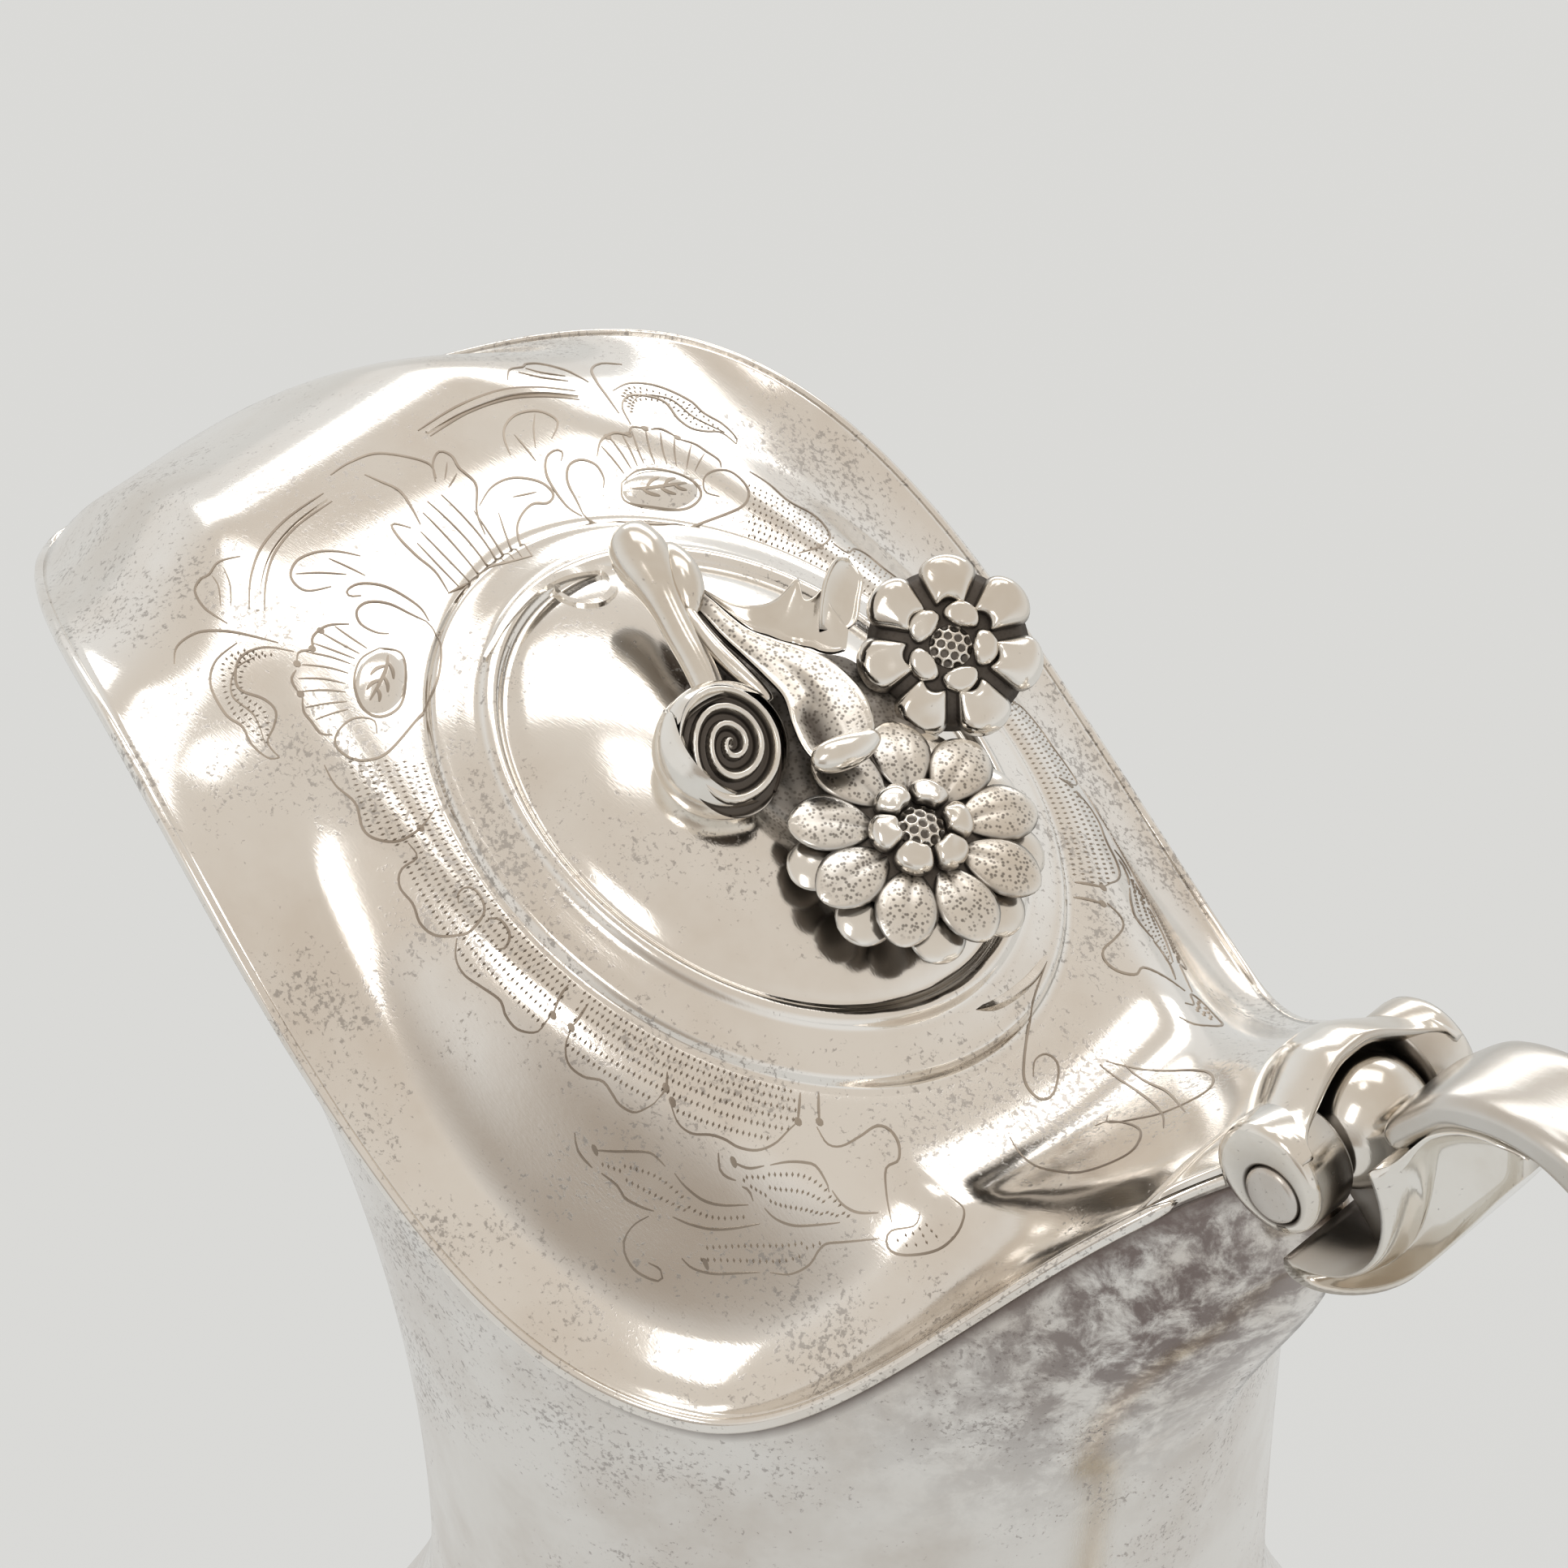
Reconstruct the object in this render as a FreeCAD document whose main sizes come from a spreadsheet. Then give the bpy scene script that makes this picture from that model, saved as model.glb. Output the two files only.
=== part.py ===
import FreeCAD, Part
import Sketcher
import math
import os

# Lidded silver coffee pot with a pouring beak, a hinged saddle lid and a flower finial.
# Millimetres, +Z up. The foot stands on Z = 0 with the neck axis on Z.
# The beak points to -X, the hinge and the handle to +X.

doc = FreeCAD.newDocument("CoffeePot")
Vector = FreeCAD.Vector
Rotation = FreeCAD.Rotation
Placement = FreeCAD.Placement
UP = Vector(0, 0, 1)
ACROSS = Vector(0, 1, 0)

sizes = {
    # foot
    "foot_base_radius": 37, "foot_waist_radius": 22, "foot_height": 15, "foot_wall": 1.2,
    "foot_lip": 3.2, "foot_curve_radius": 19,
    # body
    "wall": 1.1, "belly_radius": 55, "belly_level": 58, "neck_radius": 33, "neck_level": 122,
    "bottom_radius": 21.5,
    # mouth outline, seen from above
    "mouth_half_width": 36.8, "widest_x": -15, "beak_x": -85, "heel_x": 45,
    # rim levels, seen from the side
    "beak_level": 175.5, "crest_level": 198.4, "crest_x": -46, "dip_level": 166.1, "dip_x": 12.5,
    "heel_level": 191.6,
    # lid
    "lid_thickness": 1.2, "lid_gap": 0.5, "lid_overhang": 0.6, "lid_back_x": 41.5, "lid_nose": 0.7,
    "ridge_front_x": -51, "ridge_front_level": 202.5, "ridge_back_x": 20, "ridge_back_level": 180,
    "shoulder": 0.42, "edge_wire_width": 1.1, "edge_wire_height": 2.2, "edge_wire_seat": 0.12,
    "edge_wire_back_x": 39,
    "bezel_clearance": 2.6, "bezel_thickness": 1.0, "bezel_depth": 4.5,
    "bezel_front_x": -18, "bezel_back_x": 22,
    # oval dome on the lid
    "dome_x": -10.5, "dome_level": 191, "dome_half_length": 26.5, "dome_half_width": 21.5,
    "dome_tilt": 20, "dome_rise": 7.0, "cap_radius": 16.8, "cap_level": 2.5, "bead_width": 1.8,
    "bead_rise": 0.3, "bead_fall": 0.6, "band_level": 0.35, "band_hollow": 0.3,
    "dome_sink": 0.1, "seat_end": 1.03, "seat_blend": 0.5,
    # hinge
    "hinge_x": 46.7, "hinge_level": 194.1, "pin_radius": 2.3, "pin_half_length": 9.6,
    "knuckle_radius": 4.1, "knuckle_end": 9.2, "ball_radius": 4.5, "ball_half_width": 4.2,
    "knuckle_gap": 0.35, "pin_clearance": 0.05, "pin_fit": 0.02, "hood_thickness": 1.4,
    "hood_front_x": 32, "hood_plate": 1.7, "seat_gap": 0.15,
    # handle
    "handle_half_width": 4.6, "handle_half_depth": 3.5, "handle_swell": 0.8, "insulator_length": 4.5,
    "insulator_flange": 0.9, "handle_pin_radius": 0.9,
    # finial
    "stud_radius": 1.5, "stud_clearance": 0.1, "washer_radius": 4.4, "washer_thickness": 0.9,
    "nut_width": 6.0, "nut_height": 2.8, "boss_radius": 2.4,
    "large_flower_radius": 9.7, "small_flower_radius": 6.4, "bud_radius": 4.4,
}

sheet = doc.addObject("Spreadsheet::Sheet", "Sizes")
for row, (alias, value) in enumerate(sizes.items(), start=1):
    sheet.set("A%d" % row, alias)
    sheet.set("B%d" % row, str(value))
    sheet.setAlias("B%d" % row, alias)
doc.recompute()


def size(alias):
    return float(sheet.get(alias))


nodes = []


def keep(label, thing):
    thing.Label = label
    nodes.append(thing)
    return thing


def feature(label, shape, place=None):
    thing = doc.addObject("Part::Feature", label)
    thing.Shape = shape
    if place is not None:
        thing.Placement = place
    return keep(label, thing)


def origin_part(body, role):
    return next(item for item in body.Origin.OriginFeatures if item.Role == role)


def sketch_in(body, role, name):
    sketch = body.newObject("Sketcher::SketchObject", name)
    sketch.AttachmentSupport = [(origin_part(body, role), "")]
    sketch.MapMode = "FlatFace"
    return sketch


def bind(sketch, kind, geometry, value, formula):
    index = sketch.addConstraint(Sketcher.Constraint(kind, *geometry, value))
    sketch.setExpression("Constraints[%d]" % index, formula)


def outline(sketch, corners):
    # Closed outline. A corner is a pair of sheet formulas, and a third one makes the edge
    # that follows it an arc of that radius, which bulges to the left of the way along it.
    spots = [Vector(sheet.evalExpression(c[0]), sheet.evalExpression(c[1]), 0) for c in corners]
    starts = []
    ends = []
    for k, corner in enumerate(corners):
        here = spots[k]
        there = spots[(k + 1) % len(spots)]
        if len(corner) == 2:
            line = sketch.addGeometry(Part.LineSegment(here, there), False)
        else:
            radius = sheet.evalExpression(corner[2])
            chord = there - here
            half = chord.Length / 2
            side = Vector(-chord.y, chord.x, 0) / chord.Length
            bulge = radius - math.sqrt(radius * radius - half * half)
            line = sketch.addGeometry(Part.Arc(there, (here + there) / 2 + side * bulge, here), False)
            bind(sketch, "Radius", (line,), radius, corner[2])
        flipped = (sketch.Geometry[line].StartPoint - here).Length > 0.001
        starts.append((line, 2 if flipped else 1))
        ends.append((line, 1 if flipped else 2))
    for k, corner in enumerate(corners):
        sketch.addConstraint(Sketcher.Constraint("Coincident", *ends[k - 1], *starts[k]))
        bind(sketch, "DistanceX", (-1, 1, *starts[k]), spots[k].x, corner[0])
        bind(sketch, "DistanceY", (-1, 1, *starts[k]), spots[k].y, corner[1])


def revolved(label, corners, place=None):
    body = doc.addObject("PartDesign::Body", label)
    sketch = sketch_in(body, "XZ_Plane", label + "_profile")
    outline(sketch, corners)
    turn = body.newObject("PartDesign::Revolution", label + "_turn")
    turn.Profile = sketch
    turn.ReferenceAxis = (origin_part(body, "Z_Axis"), [""])
    turn.Angle = 360
    body.Tip = turn
    if place is not None:
        body.Placement = place
    return keep(label, body)


# Curves that the mouth, the lid and the rim share

NOSE_ROLL = 1.7


def wave(x, turns):
    # Rolls over from the first crest down to the beak, then half-cosine sweeps between turning points.
    (beak_x, beak_z), (crest_x, crest_z) = turns[:2]
    if x < crest_x:
        out = min(1.0, (crest_x - x) / (crest_x - beak_x))
        return crest_z - (crest_z - beak_z) * out ** NOSE_ROLL
    for (x0, z0), (x1, z1) in zip(turns[1:-1], turns[2:]):
        if x <= x1:
            break
    part = min(1.0, max(0.0, (x - x0) / (x1 - x0)))
    return z0 + (z1 - z0) * (1 - math.cos(math.pi * part)) / 2


BEAK_TAPER = (2.0, 0.97)
HEEL_TAPER = (2.3, 0.93)


def half_width(x):
    widest = size("widest_x")
    end, (bulge, roundness) = (size("beak_x"), BEAK_TAPER) if x < widest else (size("heel_x"), HEEL_TAPER)
    share = min(1.0, abs((x - widest) / (end - widest)))
    return size("mouth_half_width") * (1 - share ** bulge) ** roundness


beak = (size("beak_x"), size("beak_level"))
heel = (size("heel_x"), size("heel_level"))
rim_turns = [beak, (size("crest_x"), size("crest_level")), (size("dip_x"), size("dip_level")), heel]
ridge_turns = [beak, (size("ridge_front_x"), size("ridge_front_level")),
               (size("ridge_back_x"), size("ridge_back_level")), heel]


def ease(part):
    part = min(1.0, max(0.0, part))
    return part * part * (3 - 2 * part)


def lid_top(x, y):
    # The saddle falls from its ridge to the rim past a flat shoulder, and lies level round the dome.
    edge = half_width(x) + size("lid_overhang")
    ridge = wave(x, ridge_turns)
    fall = ease((abs(y) / edge - size("shoulder")) / (1 - size("shoulder")))
    flank = ridge - (ridge - wave(x, rim_turns)) * fall
    reach = size("dome_half_length") * math.cos(math.radians(size("dome_tilt")))
    place = math.hypot((x - size("dome_x")) / reach, y / size("dome_half_width"))
    slope = math.tan(math.radians(size("dome_tilt")))
    seat = size("dome_level") - size("dome_sink") - slope * (x - size("dome_x"))
    return seat + (flank - seat) * ease((place - size("seat_end")) / size("seat_blend"))


def patch(points):
    surface = Part.BSplineSurface()
    surface.interpolate(points)
    return surface.toShape()


def closed_solid(faces):
    shell = Part.makeCompound(faces)
    shell.sewShape(JOIN)
    solid = Part.makeSolid(shell.Shells[0])
    if solid.Volume < 0:
        solid.reverse()
    return solid


def mirrored(shape):
    return shape.mirror(Vector(0, 0, 0), ACROSS)


# Body: turned bowl and belly, with the mouth swept out of the neck to follow the lid
MOUTH_ROWS = 3
HALF_COLUMNS = 20
OUTLINE_STEPS = 240
FLARE = 2.0
SWEEP_POINTS = 6
JOIN = 0.001
SEAM = 0.05


def belly_curve(inset):
    # Elliptical bowl, then a hollow sweep from the widest belly up to the neck.
    belly = size("belly_radius") - inset
    neck = size("neck_radius") - inset
    rise = size("neck_level") - size("belly_level")
    bottom = size("foot_height") + inset
    fullness = math.sqrt(1 - (size("bottom_radius") / size("belly_radius")) ** 2)
    drop = (size("belly_level") - size("foot_height")) / fullness - inset
    centre = Vector(0, 0, size("belly_level"))
    beside = centre + Vector(belly, 0, 0)
    below = centre - UP * drop
    turn = math.asin((size("belly_level") - bottom) / drop)
    ellipse = Part.Ellipse(beside, below, centre) if belly > drop else Part.Ellipse(below, beside, centre)
    start = Vector(belly * math.cos(turn), 0, bottom)
    bowl = Part.ArcOfEllipse(ellipse, *sorted((ellipse.parameter(start), ellipse.parameter(beside))))
    spots = []
    for k in range(SWEEP_POINTS + 1):
        part = k / SWEEP_POINTS
        spots.append(Vector(belly + (neck - belly) * (1 - math.cos(math.pi * part)) / 2, 0,
                            size("belly_level") + rise * part))
    sweep = Part.BSplineCurve()
    sweep.interpolate(spots, InitialTangent=UP, FinalTangent=UP)
    return [bowl.toShape(), sweep.toShape()], start, spots[-1]


def turned_belly(inner, outer):
    # Solid of revolution between two belly curves, or inside one of them.
    curve, start, end = belly_curve(outer)
    foot = Vector(0, 0, start.z)
    if inner is None:
        rest = [Part.makePolygon([end, Vector(0, 0, end.z), foot, start])]
    else:
        inside, inside_start, inside_end = belly_curve(inner)
        rest = inside + [Part.makeLine(end, inside_end),
                         Part.makePolygon([inside_start, Vector(0, 0, inside_start.z), foot, start])]
    edges = Part.__sortEdges__(curve + [edge for piece in rest for edge in piece.Edges])
    return Part.Face(Part.Wire(edges)).revolve(Vector(0, 0, 0), UP, 360)


def outline_spots(count):
    # Spots at even distances along the mouth's outline at +Y, from the heel to the beak.
    middle = (size("beak_x") + size("heel_x")) / 2
    reach = (size("heel_x") - size("beak_x")) / 2
    levels = [middle + reach * math.cos(math.pi * k / OUTLINE_STEPS) for k in range(OUTLINE_STEPS + 1)]
    fine = [Vector(x, half_width(x), 0) for x in levels]
    fine[0].y = fine[-1].y = 0.0
    travel = [0.0]
    for here, there in zip(fine[:-1], fine[1:]):
        travel.append(travel[-1] + (there - here).Length)
    spots = []
    for k in range(count + 1):
        goal = travel[-1] * k / count
        spots.append(fine[min(range(len(fine)), key=lambda i: abs(travel[i] - goal))])
    return spots


def mouth_half(inset):
    # Points of the +Y half, each column from the neck to the rim.
    columns = []
    neck = size("neck_radius") - inset
    for x, y, level in outline_spots(HALF_COLUMNS):
        far = math.hypot(x, y)
        toward = Vector(x / far, y / far, 0)
        rim = toward * (far - inset)
        rim_level = lid_top(rim.x, rim.y) - size("lid_thickness") - size("lid_gap")
        column = []
        for r in range(MOUTH_ROWS + 1):
            up = r / MOUTH_ROWS
            radius = neck + (far - inset - neck) * up ** FLARE
            column.append(toward * radius + UP * (size("neck_level") + (rim_level - size("neck_level")) * up))
        columns.append(column)
    return columns


def edge_through(face, point):
    nearest = min(face.Edges, key=lambda edge: edge.distToShape(Part.Vertex(point))[0])
    return nearest.Curve.toShape(nearest.FirstParameter, nearest.LastParameter)


def mouth_wall(inset):
    # One half of the mouth's wall with its rim and its edge at the neck.
    columns = mouth_half(inset)
    half = patch(columns)
    middle = columns[HALF_COLUMNS // 2]
    return half, edge_through(half, middle[-1]), edge_through(half, middle[0])


def both_halves(faces):
    return closed_solid(faces + [mirrored(face) for face in faces])


def make_body_shell():
    outside, outer_rim, outer_neck = mouth_wall(0)
    inside, inner_rim, inner_neck = mouth_wall(size("wall"))
    lip = Part.makeRuledSurface(outer_rim, inner_rim, 1)
    seam = Part.makeRuledSurface(outer_neck, inner_neck, 1)
    mouth = both_halves([outside, inside, lip, seam])
    return turned_belly(size("wall"), 0).fuse([mouth], SEAM).Solids[0]


body_shell = feature("body_shell", make_body_shell())


def body_block(room):
    # The body's outside as a full solid, grown by the room that a fitted piece leaves.
    outside, rim, neck = mouth_wall(-room)
    caps = [Part.makeRuledSurface(edge, mirrored(edge), 1) for edge in (rim, neck)]
    mouth = closed_solid([outside, mirrored(outside)] + caps)
    return turned_belly(None, -room).fuse([mouth], SEAM)


seat_on_body = body_block(size("seat_gap"))

# Foot: spreading ring under the body, with a bead round its edge
foot_ring = revolved("foot_ring", [
    ("Sizes.foot_waist_radius", "Sizes.foot_height", "Sizes.foot_curve_radius"),
    ("Sizes.foot_base_radius - Sizes.foot_lip", "Sizes.foot_lip"),
    ("Sizes.foot_base_radius", "Sizes.foot_lip"),
    ("Sizes.foot_base_radius", "0 mm"),
    ("Sizes.foot_base_radius - Sizes.foot_wall", "0 mm"),
    ("Sizes.foot_base_radius - Sizes.foot_wall", "Sizes.foot_lip - Sizes.foot_wall"),
    ("Sizes.foot_base_radius - Sizes.foot_lip - Sizes.foot_wall", "Sizes.foot_lip - Sizes.foot_wall"),
    ("Sizes.foot_waist_radius - 2 * Sizes.foot_wall", "Sizes.foot_height - Sizes.foot_wall"),
    ("Sizes.foot_waist_radius - 5 * Sizes.foot_wall", "Sizes.foot_height - Sizes.foot_wall"),
    ("Sizes.foot_waist_radius - 5 * Sizes.foot_wall", "Sizes.foot_height"),
])

# Lid: saddle sheet that follows the mouth, with an oval dome raised in it inside a bead and a hollow band
DOME_DRAW = 1.15
DOME_SKIRT = 0.9
LID_STATIONS = 26
LID_RIBS = 16
BEYOND = 30


def rim_frame(x):
    # Point of the mouth's outline at +Y and the way out from it, square to the outline.
    step = 0.05
    slope = (half_width(x + step) - half_width(x - step)) / (2 * step)
    out = Vector(-slope, 1, 0)
    out.normalize()
    return Vector(x, half_width(x), 0), out


def lid_rows(back_x, front_x, stations, ribs, breadth):
    # Points of the saddle, in rows across it from the hinge to the beak.
    middle = (back_x + front_x) / 2
    reach = (back_x - front_x) / 2
    rows = []
    for k in range(stations + 1):
        x = middle + reach * math.cos(math.pi * k / stations)
        edge = (half_width(x) + size("lid_overhang")) * breadth
        across = [edge * math.sin(math.pi * (j / ribs - 0.5)) for j in range(ribs + 1)]
        rows.append([Vector(x, y, lid_top(x, y)) for y in across])
    return rows


lid_nose_x = size("beak_x") + size("lid_nose")
lid_sheet = patch(lid_rows(size("lid_back_x"), lid_nose_x, LID_STATIONS, LID_RIBS, 1.0))


def lid_slab(low, high):
    # Solid between the saddle's upper face moved by low and by high.
    return lid_sheet.translated(UP * low).extrude(UP * (high - low))


dome_base = Vector(size("dome_x"), 0, size("dome_level"))
dome_turn = Rotation(ACROSS, size("dome_tilt"))
dome_frame = Placement(dome_base + dome_turn.multVec(UP * size("dome_rise")), dome_turn)


def arc_between(start, end, lift):
    # Arc whose middle stands off the chord by lift, upwards where lift is positive.
    chord = end - start
    square = Vector(-chord.z, 0, chord.x) / chord.Length
    return Part.Arc(start, (start + end) / 2 + square * lift, end).toShape()


def dome_solid(shift, inset, depth):
    # Cap, bead and hollow band round an axis, turned and stretched to an oval.
    cap = size("cap_radius") - inset
    level = size("cap_level")
    rise = size("dome_rise")
    bead_end = Vector(cap + size("bead_width"), 0, level - size("bead_fall"))
    band_end = Vector(size("dome_half_width") - inset, 0, size("band_level"))
    top = Vector(0, 0, rise)
    cap_end = Vector(cap, 0, level)
    sphere = (cap ** 2 + (rise - level) ** 2) / (2 * (rise - level))
    bulge = sphere - math.sqrt(sphere ** 2 - (cap ** 2 + (rise - level) ** 2) / 4)
    curve = [arc_between(top, cap_end, bulge), arc_between(cap_end, bead_end, size("bead_rise")),
             arc_between(bead_end, band_end, -size("band_hollow"))]
    rest = Part.makePolygon([band_end, Vector(band_end.x, 0, -depth), Vector(0, 0, -depth), top])
    turned = Part.Face(Part.Wire(curve + rest.Edges)).revolve(Vector(0, 0, 0), UP, 360)
    stretch = FreeCAD.Matrix()
    stretch.scale(size("dome_half_length") / size("dome_half_width"), 1, 1)
    oval_dome = turned.transformGeometry(stretch)
    oval_dome.Placement = Placement(dome_base + UP * shift, dome_turn)
    return oval_dome


def dome_rod(radius, low, high):
    rod = Part.makeCylinder(radius, high - low, Vector(0, 0, low), UP)
    rod.Placement = dome_frame
    return rod


stud_hole = size("stud_radius") + size("stud_clearance")
lid = lid_slab(-size("lid_thickness"), 0).fuse(dome_solid(0, 0, DOME_SKIRT))
lid = lid.cut(dome_solid(-size("lid_thickness") * DOME_DRAW, size("lid_thickness"), BEYOND))
lid = lid.cut(dome_rod(stud_hole, -BEYOND, BEYOND))
lid_shell = feature("lid_shell", lid)
seat_on_lid = lid_slab(-BEYOND, size("seat_gap"))
seat_on_dome = dome_solid(size("seat_gap"), 0, BEYOND)
seat_under_lid = lid_slab(-size("lid_thickness") - size("seat_gap"), BEYOND)

# Applied wire round the lid's edge, and the strips below it that drop inside the mouth

RIM_STATIONS = 18


def rim_loops(back_x, front_x, near, far, low, high):
    # Rectangles beside the lid's edge at +Y, from near to far along the way out.
    middle = (back_x + front_x) / 2
    reach = (back_x - front_x) / 2
    loops = []
    for k in range(RIM_STATIONS + 1):
        spot, out = rim_frame(middle + reach * math.cos(math.pi * k / RIM_STATIONS))
        inner = spot + out * (size("lid_overhang") + near)
        outer = spot + out * (size("lid_overhang") + far)
        level = lid_top(inner.x, inner.y) if near < 0 else wave(spot.x, rim_turns)
        loops.append([inner + UP * (level + low), outer + UP * (level + low),
                      outer + UP * (level + high), inner + UP * (level + high)])
    return loops


def other_side(loop):
    return [Vector(spot.x, -spot.y, spot.z) for spot in loop]


def strip_through(loops):
    return Part.makeLoft([Part.makePolygon(loop + loop[:1]) for loop in loops], True, False)


wire_low = -size("lid_thickness")
wire_high = wire_low + size("edge_wire_height")
wire_near = size("edge_wire_seat")
wire_far = wire_near + size("edge_wire_width")
wire_loops = rim_loops(size("edge_wire_back_x"), lid_nose_x, wire_near, wire_far, wire_low, wire_high)
wire_loops += [other_side(loop) for loop in reversed(wire_loops)]
feature("lid_edge_wire", strip_through(wire_loops))

bezel_far = -size("lid_overhang") - size("wall") - size("bezel_clearance")
bezel_low = -size("lid_thickness") - size("bezel_depth")
bezel_loops = rim_loops(size("bezel_back_x"), size("bezel_front_x"), bezel_far - size("bezel_thickness"),
                        bezel_far, bezel_low, 0)
bezel_half = strip_through(bezel_loops).cut(seat_under_lid)
feature("lid_bezel", Part.makeCompound([bezel_half, mirrored(bezel_half)]))

# Hinge: hooded plate on the lid, pin, and the ball that carries it
hinge_axis = Vector(size("hinge_x"), 0, size("hinge_level"))


def hinge_barrel(radius, low, high):
    return Part.makeCylinder(radius, high - low, hinge_axis + ACROSS * low, ACROSS)


ball_room = size("ball_radius") + size("knuckle_gap")
hood_radius = ball_room + size("hood_thickness")
knuckle_start = size("ball_half_width") + size("knuckle_gap")
HOOD_STATIONS = 4
HOOD_RIBS = 8
HOOD_BREADTH = 0.9
hood_rows = lid_rows(size("lid_back_x"), size("hood_front_x"), HOOD_STATIONS, HOOD_RIBS, HOOD_BREADTH)
hood_plate = patch(hood_rows).extrude(UP * (size("hood_plate") + size("seat_gap")))
HOOD_FROM = 115
HOOD_TO = 210
hood_way = Vector(math.cos(math.radians(HOOD_FROM)), 0, math.sin(math.radians(HOOD_FROM)))
hood_root = (size("pin_radius") + size("knuckle_radius")) / 2
hood_ends = [hinge_axis + ACROSS * (side * size("knuckle_end")) for side in (-1, 1)]
hood_face = Part.Face(Part.makePolygon([
    hood_ends[0] + hood_way * hood_root, hood_ends[1] + hood_way * hood_root,
    hood_ends[1] + hood_way * hood_radius, hood_ends[0] + hood_way * hood_radius,
    hood_ends[0] + hood_way * hood_root]))
hood = hood_face.revolve(hinge_axis, ACROSS, HOOD_FROM - HOOD_TO)
for side in (-1, 1):
    low, high = sorted((side * knuckle_start, side * size("knuckle_end")))
    hood = hood.fuse(hinge_barrel(size("knuckle_radius"), low, high))
hood = hood.fuse(hood_plate).cut(seat_on_lid)
hood = hood.cut(hinge_barrel(ball_room, -knuckle_start, knuckle_start))
hood = hood.cut(hinge_barrel(size("pin_radius") + size("pin_clearance"), -BEYOND, BEYOND))
feature("lid_hinge_hood", hood.removeSplitter())

pin = doc.addObject("Part::Cylinder", "hinge_pin")
pin.setExpression("Radius", "Sizes.pin_radius")
pin.setExpression("Height", "2 * Sizes.pin_half_length")
pin.Placement = Placement(hinge_axis - ACROSS * size("pin_half_length"), Rotation(Vector(1, 0, 0), -90))
keep("hinge_pin", pin)

# Handle: two cast sockets, a scroll grip between them and insulating discs pinned in the gaps


def ellipse_round(centre, reach_a, reach_b):
    if reach_a.Length < reach_b.Length:
        reach_a, reach_b = reach_b, reach_a * -1
    if reach_a.Length - reach_b.Length < 1e-6:
        return Part.Wire(Part.Circle(centre, reach_a.cross(reach_b), reach_a.Length).toShape())
    return Part.Wire(Part.Ellipse(centre + reach_a, centre + reach_b, centre).toShape())


def oval(x, z, lean, half_depth, half_width_here):
    # Closed section square to the handle's run, which leans from +X by lean degrees.
    tilt = math.radians(lean)
    away = Vector(-math.sin(tilt), 0, math.cos(tilt))
    return ellipse_round(Vector(x, 0, z), away * half_depth, ACROSS * half_width_here)


def run(stations):
    return Part.makeLoft([oval(*station) for station in stations], True, False)


def along(station, distance):
    x, z, lean = station[:3]
    tilt = math.radians(lean)
    return (x + distance * math.cos(tilt), z + distance * math.sin(tilt), lean) + tuple(station[3:])


def rod_at(station, radius, low, high):
    x, z, lean = station[:3]
    tilt = math.radians(lean)
    way = Vector(math.cos(tilt), 0, math.sin(tilt))
    return Part.makeCylinder(radius, high - low, Vector(x, 0, z) + way * low, way)


def cross_pin(station, offset, radius, half_length):
    x, z = along(station, offset)[:2]
    return Part.makeCylinder(radius, 2 * half_length, Vector(x, -half_length, z), ACROSS)


depth = size("handle_half_depth")
width = size("handle_half_width")
gap = size("insulator_length")
upper_end = (75.5, 197.5, -66, depth + 0.5, width + 0.5)
lower_end = (66.3, 95.5, -121, depth + 0.3, width + 0.3)
upper_run = [(40.5, 180.0, 34, 5.2, 7.6), (47, 184.2, 36, 4.8, 6.6), (54, 190.2, 46, 3.9, 5.4),
             (60, 197.6, 50, depth - 0.2, width), (66, 204.0, 32, depth - 0.2, width),
             (71.5, 204.8, -25, depth, width), upper_end]
swell = size("handle_swell")
grip_run = [along(upper_end, gap), (82.0, 180, -72, depth, width),
            (86.3, 162, -84, depth + swell, width + swell), (85.8, 144, -98, depth + swell, width + swell),
            (81.2, 125, -109, depth, width), (74, 108, -117, depth, width), lower_end]
lower_run = [along(lower_end, gap), (59.5, 85.6, -130, depth + 0.8, width + 1.2), (48, 77, -145, 6.0, 7.4)]
TENON_RADIUS = 1.9
TENON_LENGTH = 4.5
PIN_INSET = 2.4
fit = size("pin_fit")
joints = [(upper_end, gap), (lower_end, gap)]
tenon_bores = [rod_at(end, TENON_RADIUS + fit, -TENON_LENGTH - fit, length + TENON_LENGTH + fit)
               for end, length in joints]
pin_spots = [(end, offset) for end, length in joints for offset in (-PIN_INSET, length + PIN_INSET)]
pin_bores = [cross_pin(end, offset, size("handle_pin_radius") + fit, 2 * width) for end, offset in pin_spots]


def drilled(shape, bores):
    for bore in bores:
        shape = shape.cut(bore)
    return shape


ball = Part.makeSphere(size("ball_radius"), hinge_axis)
ball = ball.common(hinge_barrel(2 * size("ball_radius"), -size("ball_half_width"), size("ball_half_width")))
SHANK = (4.4, 5.2, 9.0)
SHANK_SET = (1.6, 10.5)
shank_corner = hinge_axis - Vector(SHANK_SET[0], SHANK[1] / 2, SHANK_SET[1])
shank = Part.makeBox(*SHANK, shank_corner)
upper_socket = run(upper_run).fuse(shank).fuse(ball).cut(seat_on_body)
hinge_bore = hinge_barrel(size("pin_radius") + fit, -BEYOND, BEYOND)
upper_socket = drilled(upper_socket, tenon_bores + pin_bores + [hinge_bore])
feature("handle_upper_socket", upper_socket)
feature("handle_grip", drilled(run(grip_run), tenon_bores + pin_bores))
feature("handle_lower_socket", drilled(run(lower_run).cut(seat_on_body), tenon_bores + pin_bores))
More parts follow.
